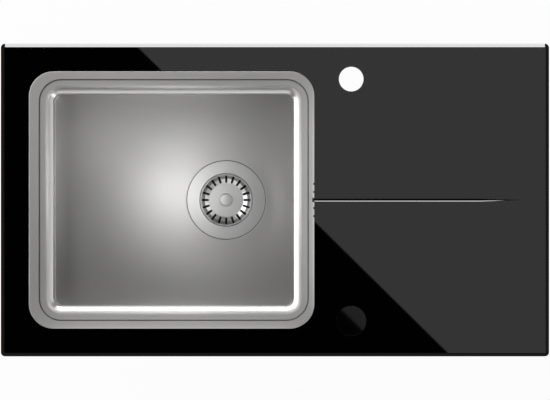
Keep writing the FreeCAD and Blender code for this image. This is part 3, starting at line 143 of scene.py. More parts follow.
class WasteSizes(bpy.types.PropertyGroup):
    """Sizes of the basket waste"""

    dish_radius: length("Dish radius", "Outer radius of the strainer dish", 56.0)
    dish_sheet: length("Dish sheet", "Thickness of the dish", 1.2)
    throat_radius: length("Throat radius", "Inner radius of the dish", 38.75)
    throat_lip: length("Throat lip", "Inner radius of the dish's mouth", 38.1)
    throat_depth: length("Throat depth", "Where the dish's seat starts", 22)
    seat_radius: length("Seat radius", "Radius of the dish's floor", 34)
    seat_depth: length("Seat depth", "Depth of the dish's floor", 31)
    hub_radius: length("Hub hole", "Hole for the clamp bolt", 5.7)
    drain_holes: IntProperty(name="Drain holes", description="Holes in the dish's floor", default=8, min=3)
    cup_sheet: length("Cup sheet", "Thickness of the basket", 0.9)
    cup_rim: length("Cup rim", "Outer radius of the basket's rim", 37.2)
    cup_mouth: length("Cup mouth", "Inner radius of the basket at its rim", 35.6)
    cup_waist: length("Cup waist", "Radius where the shallow cone turns into the steep wall", 31)
    cup_waist_rise: length("Waist height", "Height of the waist over the basket's floor", 3)
    cup_floor: length("Cup floor", "Radius of the basket's floor", 24.5)
    slots: IntProperty(name="Slots", description="Slots in the basket's wall", default=20, min=3)
    slot_width: length("Slot width", "Width of one slot", 3.2)
    slot_inner: length("Slot start", "Radius where a slot starts", 24.8)
    slot_outer: length("Slot end", "Radius where a slot ends", 35.2)
    button_radius: length("Button radius", "Radius of the lifting button", 9.25)
    button_neck: length("Button neck", "Radius of the button's neck", 5)


class FinishSettings(bpy.types.PropertyGroup):
    """Colours and finishes"""

    bowl_steel: colour("Bowl steel", "Satin steel of the bowl", (0.60, 0.595, 0.585))
    waste_steel: colour("Waste steel", "Polished steel of the waste", (0.66, 0.66, 0.655))
    tray_steel: colour("Tray steel", "Unbrushed sheet of the tray", (0.36, 0.36, 0.36))
    zinc: colour("Zinc", "Plated clips and screws", (0.62, 0.63, 0.64))
    glass: colour("Glass", "Back-painted glass", (0.0012, 0.0012, 0.0013))
    knob: colour("Knob", "Gloss plastic of the knob", (0.0035, 0.0035, 0.0038))
    pale_plastic: colour("Pale plastic", "Moulded waste fittings", (0.70, 0.70, 0.68))
    dark_plastic: colour("Dark plastic", "Moulded bush and nuts", (0.018, 0.018, 0.019))
    rubber: colour("Rubber", "Seals and pads", (0.016, 0.016, 0.017))
    brass: colour("Brass", "Turned glands", (0.62, 0.44, 0.17))
    bowl_roughness: factor("Bowl roughness", "Roughness of the satin steel", 0.30)
    rim_roughness: factor("Rim roughness", "How much rougher the bowl's rim is", 0.12)


class StageSettings(bpy.types.PropertyGroup):
    """Floor, lights and camera"""

    view_width: length("View width", "Width of the picture at the glass", 782.43)
    lens: FloatProperty(name="Lens", description="Long lens for a straight top view", default=1000.0)
    floor_size: length("Floor", "Side of the floor", 9000)
    softbox_level: level("Softbox", "Radiance of the large box over the drainer", 0.31)
    left_level: level("Left panel", "Radiance of the low panel at the left", 3.3)
    rear_level: level("Rear panel", "Radiance of the low panel at the rear", 3.4)
    right_level: level("Right panel", "Radiance of the panels at the right and the front", 1.65)
    low_level: level("Low boxes", "Radiance of the two low boxes beside the bowl's rim", 1.0)
    bowl_level: level("Bowl lights", "Radiance of the two small boxes over the bowl", 3.4)
    surround_level: level("Surround", "Strength of the world", 0.35)


# Mesh helpers
def arc_points(centre, radius, start, end, steps):
    """Points of an arc, by its angles in degrees."""
    angles = [math.radians(start + (end - start) * step / steps) for step in range(steps + 1)]
    return [(centre[0] + radius * math.cos(a), centre[1] + radius * math.sin(a)) for a in angles]


def rounded_line(corners, steps=8, guard=0.3 * MM):
    """An open line of (x, z) points. A corner with a third value is rounded by that radius, and guard
    points beside the bend keep the flat faces flat when they are shaded smooth."""
    points = []
    for index, corner in enumerate(corners):
        here = Vector(corner[:2])
        if len(corner) == 2 or index in (0, len(corners) - 1):
            points.append(here)
            continue
        back = (Vector(corners[index - 1][:2]) - here).normalized()
        ahead = (Vector(corners[index + 1][:2]) - here).normalized()
        half = back.angle(ahead) / 2
        reach = corner[2] / math.tan(half)
        centre = here + (back + ahead).normalized() * (corner[2] / math.sin(half))
        first, last = here + back * reach, here + ahead * reach
        sweep = math.pi - 2 * half
        turn = 1 if (first - centre).cross(last - centre) > 0 else -1
        start = math.atan2(first.y - centre.y, first.x - centre.x)
        points.append(first + back * guard)
        for step in range(steps + 1):
            angle = start + turn * sweep * step / steps
            points.append(centre + corner[2] * Vector((math.cos(angle), math.sin(angle))))
        points.append(last + ahead * guard)
    return [tuple(point) for point in points]


SIDE_STEPS = 24
CORNER_STEPS = 14


def rounded_rectangle(centre_x, size_x, size_y, radius, height):
    """A loop round a rounded rectangle, with the same steps on every side and corner."""
    half_x, half_y = size_x / 2 - radius, size_y / 2 - radius
    loop = []
    for sign_x, sign_y, start in ((1, -1, -90), (1, 1, 0), (-1, 1, 90), (-1, -1, 180)):
        middle = (centre_x + sign_x * half_x, sign_y * half_y)
        loop.append(arc_points(middle, radius, start, start + 90, CORNER_STEPS))
    points = []
    for bend, after in zip(loop, loop[1:] + loop[:1]):
        points += bend
        for step in range(1, SIDE_STEPS):
            share = step / SIDE_STEPS
            points.append(tuple(Vector(bend[-1]).lerp(Vector(after[0]), share)))
    return [Vector((x, y, height)) for x, y in points]


def outward(mesh):
    """Merges doubles and turns every face outwards."""
    work = bmesh.new()
    work.from_mesh(mesh)
    bmesh.ops.remove_doubles(work, verts=work.verts, dist=TOUCHING)
    bmesh.ops.recalc_face_normals(work, faces=work.faces)
    work.to_mesh(mesh)
    work.free()


def skin(name, loops, closed):
    """A mesh through loops of equal length. A loop of one point is a pole."""
    points, starts = [], []
    for loop in loops:
        starts.append(len(points))
        points += loop
    faces = []
    pairs = list(zip(range(len(loops)), range(1, len(loops))))
    if closed:
        pairs.append((len(loops) - 1, 0))
    for first, second in pairs:
        count = max(len(loops[first]), len(loops[second]))
        for step in range(count):
            after = (step + 1) % count
            near = [starts[first] + (spot if len(loops[first]) > 1 else 0) for spot in (step, after)]
            far = [starts[second] + (spot if len(loops[second]) > 1 else 0) for spot in (after, step)]
            faces.append(list(dict.fromkeys(near + far)))
    mesh = bpy.data.meshes.new(name)
    mesh.from_pydata(points, [], faces)
    mesh.validate()
    outward(mesh)
    return mesh


def lathe(name, profile, centre, closed=True, steps=144):
    """A mesh of revolution from (radius, height) points about an upright axis."""
    loops = []
    for radius, height in profile:
        if radius < TOUCHING:
            loops.append([Vector((centre[0], centre[1], centre[2] + height))])
            continue
        loop = []
        for step in range(steps):
            angle = 2 * math.pi * step / steps
            offset = Vector((radius * math.cos(angle), radius * math.sin(angle), height))
            loop.append(Vector(centre) + offset)
        loops.append(loop)
    return skin(name, loops, closed)


def dome_points(radius, crown, top, margin, steps):
    """Points of a shallow dome, from a margin inside its edge to its pole."""
    sphere = (radius ** 2 + crown ** 2) / (2 * crown)
    points = []
    for step in range(steps + 1):
        across = (radius - margin) * (1 - step / steps)
        points.append((across, top - sphere + math.sqrt(sphere ** 2 - across ** 2)))
    return points


def block(low, high):
    """A box mesh between two corners."""
    corners = [(x, y, z) for x in (low[0], high[0]) for y in (low[1], high[1]) for z in (low[2], high[2])]
    faces = [(0, 1, 3, 2), (4, 6, 7, 5), (0, 4, 5, 1), (2, 3, 7, 6), (0, 2, 6, 4), (1, 5, 7, 3)]
    mesh = bpy.data.meshes.new("block")
    mesh.from_pydata(corners, [], faces)
    outward(mesh)
    return mesh


def new_object(name, data):
    item = bpy.data.objects.new(name, data)
    bpy.context.scene.collection.objects.link(item)
    return item


def finished_piece(name, mesh, finish, body, nodes, bend=32):
    """Links a piece that stands for CAD nodes and rides on their body.

    It is shaded smooth, with sharp edges where its surface bends by more than that many degrees.
    """
    mesh.shade_smooth()
    mesh.set_sharp_from_angle(angle=math.radians(bend))
    mesh.materials.clear()
    mesh.materials.append(material_of(finish))
    piece = new_object(name, mesh)
    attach(piece, body)
    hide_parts(*nodes)


def plain_mesh(item):
    """The mesh that an object's modifiers give."""
    bpy.context.view_layer.update()
    depsgraph = bpy.context.evaluated_depsgraph_get()
    return bpy.data.meshes.new_from_object(item.evaluated_get(depsgraph))


def cut_away(mesh, cutters):
    """The mesh less each cutter mesh."""
    base = new_object("cut_base", mesh)
    tools = [new_object("cut_tool", cutter) for cutter in cutters]
    for tool in tools:
        modifier = base.modifiers.new("cut", "BOOLEAN")
        modifier.operation = "DIFFERENCE"
        modifier.solver = "EXACT"
        modifier.object = tool
    result = plain_mesh(base)
    for item in tools + [base]:
        bpy.data.objects.remove(item)
    return result


# Node helpers
def add_node(tree, kind, **values):
    node = tree.nodes.new(kind)
    for name, value in values.items():
        setattr(node, name, value)
    return node


def fed_node(tree, kind, socket, source, **values):
    """A node with one of its sockets linked to a source."""
    node = add_node(tree, kind, **values)
    tree.links.new(source, node.inputs[socket])
    return node


def feed(tree, value, socket):
    """Sets a socket to a number or links an output to it."""
    if isinstance(value, (int, float)):
        socket.default_value = value
    else:
        tree.links.new(value, socket)


def math_node(tree, operation, first, second):
    node = add_node(tree, "ShaderNodeMath", operation=operation)
    feed(tree, first, node.inputs[0])
    feed(tree, second, node.inputs[1])
    return node.outputs[0]


# Geometry Nodes
def perforate_tree():
    """A tree that cuts a ring of rounded slots through a piece."""
    tree = bpy.data.node_groups.new("Perforate", "GeometryNodeTree")
    sockets = {"Geometry": "Geometry", "Count": "Int", "Ring Radius": "Float", "Slot Length": "Float",
               "Slot Width": "Float", "Depth": "Float", "Centre": "Vector", "Material": "Material"}
    for name, kind in sockets.items():
        tree.interface.new_socket(name, in_out="INPUT", socket_type="NodeSocket" + kind)
    tree.interface.new_socket("Geometry", in_out="OUTPUT", socket_type="NodeSocketGeometry")
    link = tree.links.new
    entry = add_node(tree, "NodeGroupInput").outputs
    post = fed_node(tree, "GeometryNodeMeshCylinder", "Depth", entry["Depth"])
    post.inputs["Vertices"].default_value = 20
    link(math_node(tree, "MULTIPLY", entry["Slot Width"], 0.5), post.inputs["Radius"])
    reach = math_node(tree, "SUBTRACT", entry["Slot Length"], entry["Slot Width"])
    ends = add_node(tree, "GeometryNodeJoinGeometry")
    for side in (0.5, -0.5):
        place = fed_node(tree, "ShaderNodeCombineXYZ", "X", math_node(tree, "MULTIPLY", reach, side))
        move = fed_node(tree, "GeometryNodeTransform", "Geometry", post.outputs["Mesh"])
        link(place.outputs[0], move.inputs["Translation"])
        link(move.outputs[0], ends.inputs[0])
    hull = fed_node(tree, "GeometryNodeConvexHull", 0, ends.outputs[0])
    ring = fed_node(tree, "GeometryNodeMeshCircle", "Vertices", entry["Count"])
    link(entry["Ring Radius"], ring.inputs["Radius"])
    place = add_node(tree, "GeometryNodeInputPosition")
    turn = fed_node(tree, "FunctionNodeAlignRotationToVector", "Vector", place.outputs[0], axis="X")
    copies = fed_node(tree, "GeometryNodeInstanceOnPoints", "Points", ring.outputs["Mesh"])
    link(hull.outputs[0], copies.inputs["Instance"])
    link(turn.outputs[0], copies.inputs["Rotation"])
    move = fed_node(tree, "GeometryNodeTransform", "Geometry", copies.outputs[0])
    link(entry["Centre"], move.inputs["Translation"])
    cutters = fed_node(tree, "GeometryNodeRealizeInstances", 0, move.outputs[0])
    cut = fed_node(tree, "GeometryNodeMeshBoolean", "Mesh 2", cutters.outputs[0], operation="DIFFERENCE",
                   solver="EXACT")
    link(entry["Geometry"], cut.inputs["Mesh 1"])
    last = fed_node(tree, "GeometryNodeRealizeInstances", 0, cut.outputs["Mesh"])
    paint = fed_node(tree, "GeometryNodeSetMaterial", "Geometry", last.outputs[0])
    link(entry["Material"], paint.inputs["Material"])
    fed_node(tree, "NodeGroupOutput", 0, paint.outputs[0])
    return tree


def perforated(mesh, finish, centre, count, ring, slot_length, slot_width, depth):
    """The plain mesh of a piece with a ring of slots cut through it."""
    tree = bpy.data.node_groups.get("Perforate") or perforate_tree()
    values = {"Count": count, "Ring Radius": ring, "Slot Length": slot_length, "Slot Width": slot_width,
              "Depth": depth, "Centre": tuple(centre), "Material": material_of(finish)}
    item = new_object("perforate_base", mesh)
    modifier = item.modifiers.new("perforate", "NODES")
    modifier.node_group = tree
    for socket in tree.interface.items_tree:
        if socket.in_out == "INPUT" and socket.name in values:
            modifier[socket.identifier] = values[socket.name]
    result = plain_mesh(item)
    bpy.data.objects.remove(item)
    return result


# Shader node groups
GRAIN_STRETCH = (0.06, 1.0, 1.0)
GRAIN_SHARE, CLOUD_SHARE = 0.6, 0.4
SPECK_SIZE = 0.05
SPECK_RARITY = 0.62
SPECK_ROUGH = 0.3
WIPE_HAZE = 0.03
# Sets how far the painted shade of the groove line fades out past its edges.
GROOVE_SHADE_FADE = 1.6


def shader_group(name, inputs, outputs):
    """An empty group with named inputs and outputs. place_group sets every input."""
    group = bpy.data.node_groups.new(name, "ShaderNodeTree")
    for side, labels in (("INPUT", inputs), ("OUTPUT", outputs)):
        for label in labels:
            group.interface.new_socket(label, in_out=side, socket_type="NodeSocketFloat")
    entry = add_node(group, "NodeGroupInput")
    end = add_node(group, "NodeGroupOutput")
    return group, entry.outputs, end.inputs


def object_place(tree):
    return add_node(tree, "ShaderNodeTexCoord").outputs["Object"]


def noise_node(tree, vector, scale, detail):
    node = fed_node(tree, "ShaderNodeTexNoise", "Vector", vector)
    node.inputs["Detail"].default_value = detail
    feed(tree, scale, node.inputs["Scale"])
    return node.outputs["Fac"]


def varied_rough(group, entry, value):
    """The group's roughness, which a value between 0 and 1 spreads."""
    swing = math_node(group, "MULTIPLY", math_node(group, "SUBTRACT", value, 0.5), entry["Spread"])
    return math_node(group, "ADD", entry["Rough"], swing)


def grain_group():
    """Fine brushed grain along X, with broad clouds of handling over it."""
    group, entry, end = shader_group("Brushed grain", ["Scale", "Rough", "Spread"], ["Roughness", "Height"])
    place = object_place(group)
    stretch = fed_node(group, "ShaderNodeMapping", "Vector", place)
    stretch.inputs["Scale"].default_value = GRAIN_STRETCH
    grain = noise_node(group, stretch.outputs[0], entry["Scale"], detail=2.0)
    cloud = noise_node(group, place, scale=9.0, detail=4.0)
    mixed = math_node(group, "ADD", math_node(group, "MULTIPLY", grain, GRAIN_SHARE),
                      math_node(group, "MULTIPLY", cloud, CLOUD_SHARE))
    group.links.new(varied_rough(group, entry, mixed), end["Roughness"])
    group.links.new(grain, end["Height"])
    return group


def moulding_group():
    """Fine moulded texture with a soft change of shade."""
    group, entry, end = shader_group("Moulding", ["Scale", "Rough", "Spread"],
                                     ["Roughness", "Height", "Shade"])
    place = object_place(group)
    fine = noise_node(group, place, entry["Scale"], detail=2.0)
    cloud = noise_node(group, place, scale=28.0, detail=3.0)
    group.links.new(varied_rough(group, entry, cloud), end["Roughness"])
    group.links.new(fine, end["Height"])
    group.links.new(cloud, end["Shade"])
    return group


def specks_group():
    """A few specks of dust and faint wiping marks on a polished face."""
    group, entry, end = shader_group("Specks", ["Amount", "Rough"], ["Roughness", "Mask"])
    place = object_place(group)
    dots = fed_node(group, "ShaderNodeTexVoronoi", "Vector", place)
    dots.inputs["Scale"].default_value = 120.0
    sparse = noise_node(group, place, scale=30.0, detail=1.0)
    near = math_node(group, "LESS_THAN", dots.outputs["Distance"], SPECK_SIZE)
    rare = math_node(group, "GREATER_THAN", sparse, SPECK_RARITY)
    mask = math_node(group, "MULTIPLY", math_node(group, "MULTIPLY", near, rare), entry["Amount"])
    wipe = noise_node(group, place, scale=6.0, detail=4.0)
    haze = math_node(group, "MULTIPLY", wipe, math_node(group, "MULTIPLY", entry["Amount"], WIPE_HAZE))
    rough = math_node(group, "ADD", math_node(group, "ADD", entry["Rough"], haze),
                      math_node(group, "MULTIPLY", mask, SPECK_ROUGH))
    group.links.new(rough, end["Roughness"])
    group.links.new(mask, end["Mask"])
    return group


def groove_group():
    """Mask of the pressed line inside a rounded rectangle, from the distance to its outline, for the painted
    shade along it.
    """
    group, entry, end = shader_group("Groove line", ["Centre", "Length", "Width", "Corner", "Line"], ["Mask"])
    split = fed_node(group, "ShaderNodeSeparateXYZ", 0, object_place(group))
    sides, squares = [], []
    for axis, centre, size in (("X", entry["Centre"], entry["Length"]), ("Y", 0.0, entry["Width"])):
        offset = math_node(group, "SUBTRACT", split.outputs[axis], centre)
        offset = math_node(group, "ABSOLUTE", offset, 0.0)
        straight = math_node(group, "MULTIPLY", size, 0.5)
        straight = math_node(group, "SUBTRACT", straight, entry["Corner"])
        sides.append(math_node(group, "SUBTRACT", offset, straight))
        beyond = math_node(group, "MAXIMUM", sides[-1], 0.0)
        squares.append(math_node(group, "MULTIPLY", beyond, beyond))
    bend = math_node(group, "SQRT", math_node(group, "ADD", *squares), 0.0)
    inner = math_node(group, "MINIMUM", math_node(group, "MAXIMUM", *sides), 0.0)
    distance = math_node(group, "SUBTRACT", math_node(group, "ADD", bend, inner), entry["Corner"])
    share = math_node(group, "ADD", math_node(group, "DIVIDE", distance, entry["Line"]), 0.5)
    share = math_node(group, "MULTIPLY", math_node(group, "ABSOLUTE", share, 0.0), 2.0)
    mask = math_node(group, "SUBTRACT", GROOVE_SHADE_FADE, share)
    mask = math_node(group, "MAXIMUM", math_node(group, "MINIMUM", mask, 1.0), 0.0)
    group.links.new(mask, end["Mask"])
    return group


GROUP_MAKERS = {"Brushed grain": grain_group, "Moulding": moulding_group, "Specks": specks_group,
                "Groove line": groove_group}


def place_group(tree, name, values):
    node = add_node(tree, "ShaderNodeGroup")
    node.node_tree = bpy.data.node_groups.get(name) or GROUP_MAKERS[name]()
    for label, value in values.items():
        node.inputs[label].default_value = value
    return node


# Materials
MATERIAL_NAMES = {
    "bowl": "Satin bowl steel", "waste": "Polished waste steel", "tray": "Mill tray steel",
    "zinc": "Zinc plate", "brass": "Turned brass", "glass": "Black glass", "knob": "Gloss knob",
    "pale": "Pale moulding", "dark": "Dark moulding", "rubber": "Seal rubber", "foam": "Foam strip",
    "pad": "Damping pad", "floor": "Pale floor",
}
OUTSIDE = "outside"
# Share of the steel's colour that is left where shade is painted on the groove and the outside.
PAINTED_SHADE_SHARE = 0.4
DUST = (0.02, 0.02, 0.02)
RIM_LOW, RIM_HIGH = 4 * MM, 8 * MM


def material_of(finish):
    return bpy.data.materials[MATERIAL_NAMES[finish]]


def new_material(finish, base_colour, metallic):
    """Makes a material with a plain colour, and gives the tree and shader to build on."""
    material = bpy.data.materials.new(MATERIAL_NAMES[finish])
    material.use_nodes = True
    shader = material.node_tree.nodes["Principled BSDF"]
    shader.inputs["Base Color"].default_value = (*base_colour, 1.0)
    shader.inputs["Metallic"].default_value = metallic
    return material.node_tree, shader


def add_bump(tree, shader, height, strength, distance):
    bump = fed_node(tree, "ShaderNodeBump", "Height", height)
    bump.inputs["Strength"].default_value = strength
    bump.inputs["Distance"].default_value = distance
    tree.links.new(bump.outputs["Normal"], shader.inputs["Normal"])


def mix_colours(tree, shader, mask, first, second):
    """Base colour that goes from the first colour to the second by a mask."""
    # The node's sockets have one name in every mode. These are the ones of its colour mode.
    mix = fed_node(tree, "ShaderNodeMix", 0, mask, data_type="RGBA")
    mix.inputs[6].default_value = (*first, 1.0)
    mix.inputs[7].default_value = (*second, 1.0)
    tree.links.new(mix.outputs[2], shader.inputs["Base Color"])


def steel(finish, base_colour, rough, spread=0.06, scale=900.0, bump=0.05, rim=None, line=None):
    """Brushed or polished metal. A rim says how much rougher it gets towards the bowl's rim.

    A line gives the place of a pressed groove. The groove, and the faces that the piece marks as its outside,
    get a darker copy of the base colour, which is painted shade.
    """
    tree, shader = new_material(finish, base_colour, 1.0)
    grain = place_group(tree, "Brushed grain", {"Scale": scale, "Rough": rough, "Spread": spread})
    roughness = grain.outputs["Roughness"]
    if rim:
        split = fed_node(tree, "ShaderNodeSeparateXYZ", 0, object_place(tree))
        ramp = fed_node(tree, "ShaderNodeMapRange", "Value", split.outputs["Z"])
        ramp.inputs["From Min"].default_value = RIM_LOW
        ramp.inputs["From Max"].default_value = RIM_HIGH
        ramp.inputs["To Max"].default_value = rim
        roughness = math_node(tree, "ADD", roughness, ramp.outputs[0])
    if line:
        groove = place_group(tree, "Groove line", line)
        # Painted shade: the groove line and the bowl's outside get a darker copy of the steel's colour.
        marked = add_node(tree, "ShaderNodeAttribute", attribute_name=OUTSIDE)
        painted_shade = math_node(tree, "MAXIMUM", groove.outputs["Mask"], marked.outputs["Fac"])
        mix_colours(tree, shader, painted_shade, base_colour, [channel * PAINTED_SHADE_SHARE for channel in base_colour])
    tree.links.new(roughness, shader.inputs["Roughness"])
    add_bump(tree, shader, grain.outputs["Height"], bump, distance=0.05 * MM)


def moulded(finish, base_colour, rough, scale=1400.0, bump=0.15, shade=0.12):
    """Moulded plastic or rubber, a little lighter and darker in places."""
    tree, shader = new_material(finish, base_colour, 0.0)
    texture = place_group(tree, "Moulding", {"Scale": scale, "Rough": rough, "Spread": 0.12})
    mix_colours(tree, shader, texture.outputs["Shade"], [channel * (1 - shade) for channel in base_colour],
                [min(1.0, channel * (1 + shade)) for channel in base_colour])
    tree.links.new(texture.outputs["Roughness"], shader.inputs["Roughness"])
    add_bump(tree, shader, texture.outputs["Height"], bump, distance=0.08 * MM)


def polished(finish, base_colour, rough, amount, ior):
    """Glass or gloss plastic with a few specks of dust."""
    tree, shader = new_material(finish, base_colour, 0.0)
    shader.inputs["IOR"].default_value = ior
    specks = place_group(tree, "Specks", {"Amount": amount, "Rough": rough})
    mix_colours(tree, shader, specks.outputs["Mask"], base_colour, DUST)
    tree.links.new(specks.outputs["Roughness"], shader.inputs["Roughness"])


def waffle(finish, base_colour):
    """Damping pad with a pressed waffle pattern."""
    tree, shader = new_material(finish, base_colour, 0.0)
    shader.inputs["Roughness"].default_value = 0.8
    place = object_place(tree)
    waves = []
    for axis in "XYZ":
        wave = fed_node(tree, "ShaderNodeTexWave", "Vector", place, bands_direction=axis)
        wave.inputs["Scale"].default_value = 20.0
        waves.append(wave.outputs["Fac"])
    height = math_node(tree, "ADD", math_node(tree, "ADD", waves[0], waves[1]), waves[2])
    add_bump(tree, shader, height, strength=0.6, distance=0.8 * MM)


def make_materials(colours, bowl):
    """Makes every finish of the sink."""
    satin = colours.bowl_roughness
    line = {"Centre": bowl.mouth_x, "Length": bowl.mouth_length, "Width": bowl.mouth_width,
            "Corner": bowl.mouth_corner, "Line": bowl.groove_width}
    steel("bowl", colours.bowl_steel, satin, rim=colours.rim_roughness, line=line)
    steel("waste", colours.waste_steel, satin, spread=0.05, scale=1300.0, bump=0.03)
    steel("tray", colours.tray_steel, 0.45, spread=0.12, scale=500.0, bump=0.08)
    steel("zinc", colours.zinc, 0.32, spread=0.16, scale=260.0, bump=0.06)
    steel("brass", colours.brass, 0.24, spread=0.08, scale=800.0)
    polished("glass", colours.glass, 0.015, amount=0.12, ior=2.0)
    polished("knob", colours.knob, 0.16, amount=0.1, ior=1.55)
    moulded("pale", colours.pale_plastic, 0.42)
    moulded("dark", colours.dark_plastic, 0.4)
    moulded("rubber", colours.rubber, 0.7, scale=900.0, bump=0.3)
    moulded("foam", colours.rubber, 0.92, scale=600.0, bump=0.7, shade=0.4)
    waffle("pad", colours.rubber)


# Bowl
FLANGE_START = -3 * MM
FLOOR_MARGIN = 1 * MM
CROWN_STEPS = 8
FIELD_BLUNTNESS = 4
SLOPE_LEAN = 0.64
HOLE_REACH = 4 * MM
NOTCH_HALF, WIDE_NOTCH_HALF = 1.5 * MM, 3 * MM
NOTCH_DEPTH = 2 * MM
CUT_MARGIN = 1 * MM
OUTSIDE_DROP = 20 * MM


def inset_loops(middle, size_x, size_y, corner, points):
    """Loops that follow a rounded rectangle's outline, from (inset, height) points."""
    return [rounded_rectangle(middle, size_x - 2 * inset, size_y - 2 * inset, corner - inset, height)
            for inset, height in points]


def mouth_loops(sizes, points):
    return inset_loops(sizes.mouth_x, sizes.mouth_length, sizes.mouth_width, sizes.mouth_corner, points)


def flange_loops(sizes, points):
    middle = (BOWL_LOW[0] + BOWL_HIGH[0]) / 2
    size_x, size_y = BOWL_HIGH[0] - BOWL_LOW[0], BOWL_HIGH[1] - BOWL_LOW[1]
    return inset_loops(middle, size_x, size_y, sizes.flange_corner, points)


def waste_loops(outline, points):
    """Circles about the waste, each point facing its point of the floor's outline."""
    centre = Vector((WASTE_X, 0, 0))
    loops = []
    for radius, height in points:
        loop = []
        for point in outline:
            away = Vector((point.x - centre.x, point.y, 0)).normalized()
            loop.append(centre + away * radius + Vector((0, 0, height)))
        loops.append(loop)
    return loops


def floor_height(point, sizes, low, high, reach):
    """Height of the floor: level at the ring round the waste and outside a rounded field, smooth between."""
    across, along = abs(point.x - WASTE_X), abs(point.y)
    left, right, side = reach
    half = left if point.x < WASTE_X else right
    blunt = ((across / half) ** FIELD_BLUNTNESS + (along / side) ** FIELD_BLUNTNESS) ** (1 / FIELD_BLUNTNESS)
    away = math.hypot(across, along)
    span = away / blunt - sizes.ring_radius
    share = min(max((away - sizes.ring_radius) / span, 0.0), 1.0)
    return low + (high - low) * share * share * (3 - 2 * share)


def floor_loops(sizes, outer, inner, steps=16):
    """Loops of the floor from its outline to the ring round the waste, which lies a little lower."""
    reach = (WASTE_X - min(point.x for point in outer), max(point.x for point in outer) - WASTE_X,
             max(point.y for point in outer))
    low, high = inner[0].z, outer[0].z
    loops = []
    for step in range(1, steps):
        loop = []
        for start, end in zip(outer, inner):
            point = start.lerp(end, step / steps)
            point.z = floor_height(point, sizes, low, high, reach)
            loop.append(point)
        loops.append(loop)
    return loops


def bowl_mesh(sizes):
    """The sheet's skin: down the inside, round the waste hole and back up the outside."""
    sheet, top = sizes.sheet, FLANGE_TOP
    under = top - sheet
    ledge = top - sizes.step_drop
    floor = top - sizes.depth
    wall = sizes.ledge_width + sizes.lip_width
    rim = wall + sizes.cove_radius + FLOOR_MARGIN
    edge = sizes.flange_edge
    crown = arc_points((edge, top - sizes.crown_drop - edge), edge, 180, 90, steps=5)
    for step in range(1, CROWN_STEPS + 1):
        share = step / CROWN_STEPS
        fall = sizes.crown_drop * (1 - share) ** 2
        crown.append((edge + (sizes.crown_width - edge) * share, top - fall))
    rim_top = flange_loops(sizes, crown)
    inside = mouth_loops(sizes, rounded_line([
        (FLANGE_START, top),
        (0, top, sizes.step_radius),
        (0, ledge - sizes.groove_depth),
        (sizes.groove_width, ledge - sizes.groove_depth),
        (sizes.groove_width, ledge),
        (wall - sizes.lip_slope_width, ledge, sizes.lip_radius),
        (wall, ledge - sizes.lip_slope_depth, sizes.lip_knee),
        (wall, floor, sizes.cove_radius),
        (rim, floor),
    ], steps=16, guard=0.05 * MM))
    seat = RING_TOP - sizes.recess_depth
    circles = rounded_line([
        (sizes.ring_radius, RING_TOP),
        (sizes.recess_radius, RING_TOP, 0.3 * MM),
        (sizes.recess_radius, seat),
        (sizes.waste_radius, seat),
        (sizes.waste_radius, seat - sheet),
        (sizes.recess_radius + sheet, seat - sheet),
        (sizes.recess_radius + sheet, RING_TOP - sheet),
        (sizes.ring_radius, RING_TOP - sheet),
    ], steps=4, guard=0.1 * MM)
    waste = waste_loops(inside[-1], circles)
    lean = 1 - SLOPE_LEAN * sheet / sizes.lip_slope_width
    outside = mouth_loops(sizes, rounded_line([
        (rim, floor - sheet),
        (wall - sheet, floor - sheet, sizes.cove_radius + sheet),
        (wall - sheet, ledge - sheet - sizes.lip_slope_depth * lean, sizes.lip_knee),
        (wall - sheet - sizes.lip_slope_width * lean, ledge - sheet, sizes.lip_radius - sheet),
        (sizes.groove_width + sheet, ledge - sheet),
        (sizes.groove_width + sheet, ledge - sheet - sizes.groove_depth),
        (-sheet, ledge - sheet - sizes.groove_depth),
        (-sheet, under),
        (FLANGE_START, under),
    ], steps=12))
    rim_under = flange_loops(sizes, [(2 * edge, under), (0, under)])
    slope = floor_loops(sizes, inside[-1], waste[0])
    slope_under = floor_loops(sizes, outside[0], waste[-1])[::-1]
    loops = rim_top + inside + slope + waste + slope_under + outside + rim_under
    return skin("bowl_skin", loops, closed=True)


def bowl_cutters(sizes):
    """The overflow hole and the drain notches."""
    wall_x = sizes.mouth_x + sizes.mouth_length / 2 - sizes.ledge_width - sizes.lip_width
    radius = sizes.overflow_radius
    hole = lathe("overflow_cutter", [(0, -HOLE_REACH), (radius, -HOLE_REACH), (radius, HOLE_REACH),
                                     (0, HOLE_REACH)], (0, 0, 0), closed=False, steps=64)
    for vertex in hole.vertices:
        x, y, z = vertex.co
        vertex.co = (wall_x + z, y, FLANGE_TOP - sizes.overflow_drop + x)
    outward(hole)
    cutters = [hole]
    edge = BOWL_HIGH[0]
    for step in (-2, -1, 0, 1, 2):
        half = NOTCH_HALF if step else WIDE_NOTCH_HALF
        middle = step * sizes.notch_pitch
        cutters.append(block((edge - half, middle - half, FLANGE_TOP - NOTCH_DEPTH),
                             (edge + CUT_MARGIN, middle + half, FLANGE_TOP + CUT_MARGIN)))
    return cutters


def mark_outside(mesh, sizes):
    """Marks the faces of the bowl's outside below its rim, which the bowl steel darkens as painted shade."""
    inset = sizes.ledge_width + sizes.lip_width - sizes.sheet / 2
    corner = sizes.mouth_corner - inset
    marks = []
    for face in mesh.polygons:
        across = abs(face.center.x - sizes.mouth_x) - sizes.mouth_length / 2 + inset + corner
        along = abs(face.center.y) - sizes.mouth_width / 2 + inset + corner
        distance = math.hypot(max(across, 0), max(along, 0)) + min(max(across, along), 0) - corner
        low = face.center.z < FLANGE_TOP - OUTSIDE_DROP
        faces_down = face.normal.z < -0.5
        marks.append(1.0 if low and (distance > 0 or faces_down) else 0.0)
    mesh.attributes.new(OUTSIDE, "FLOAT", "FACE").data.foreach_set("value", marks)


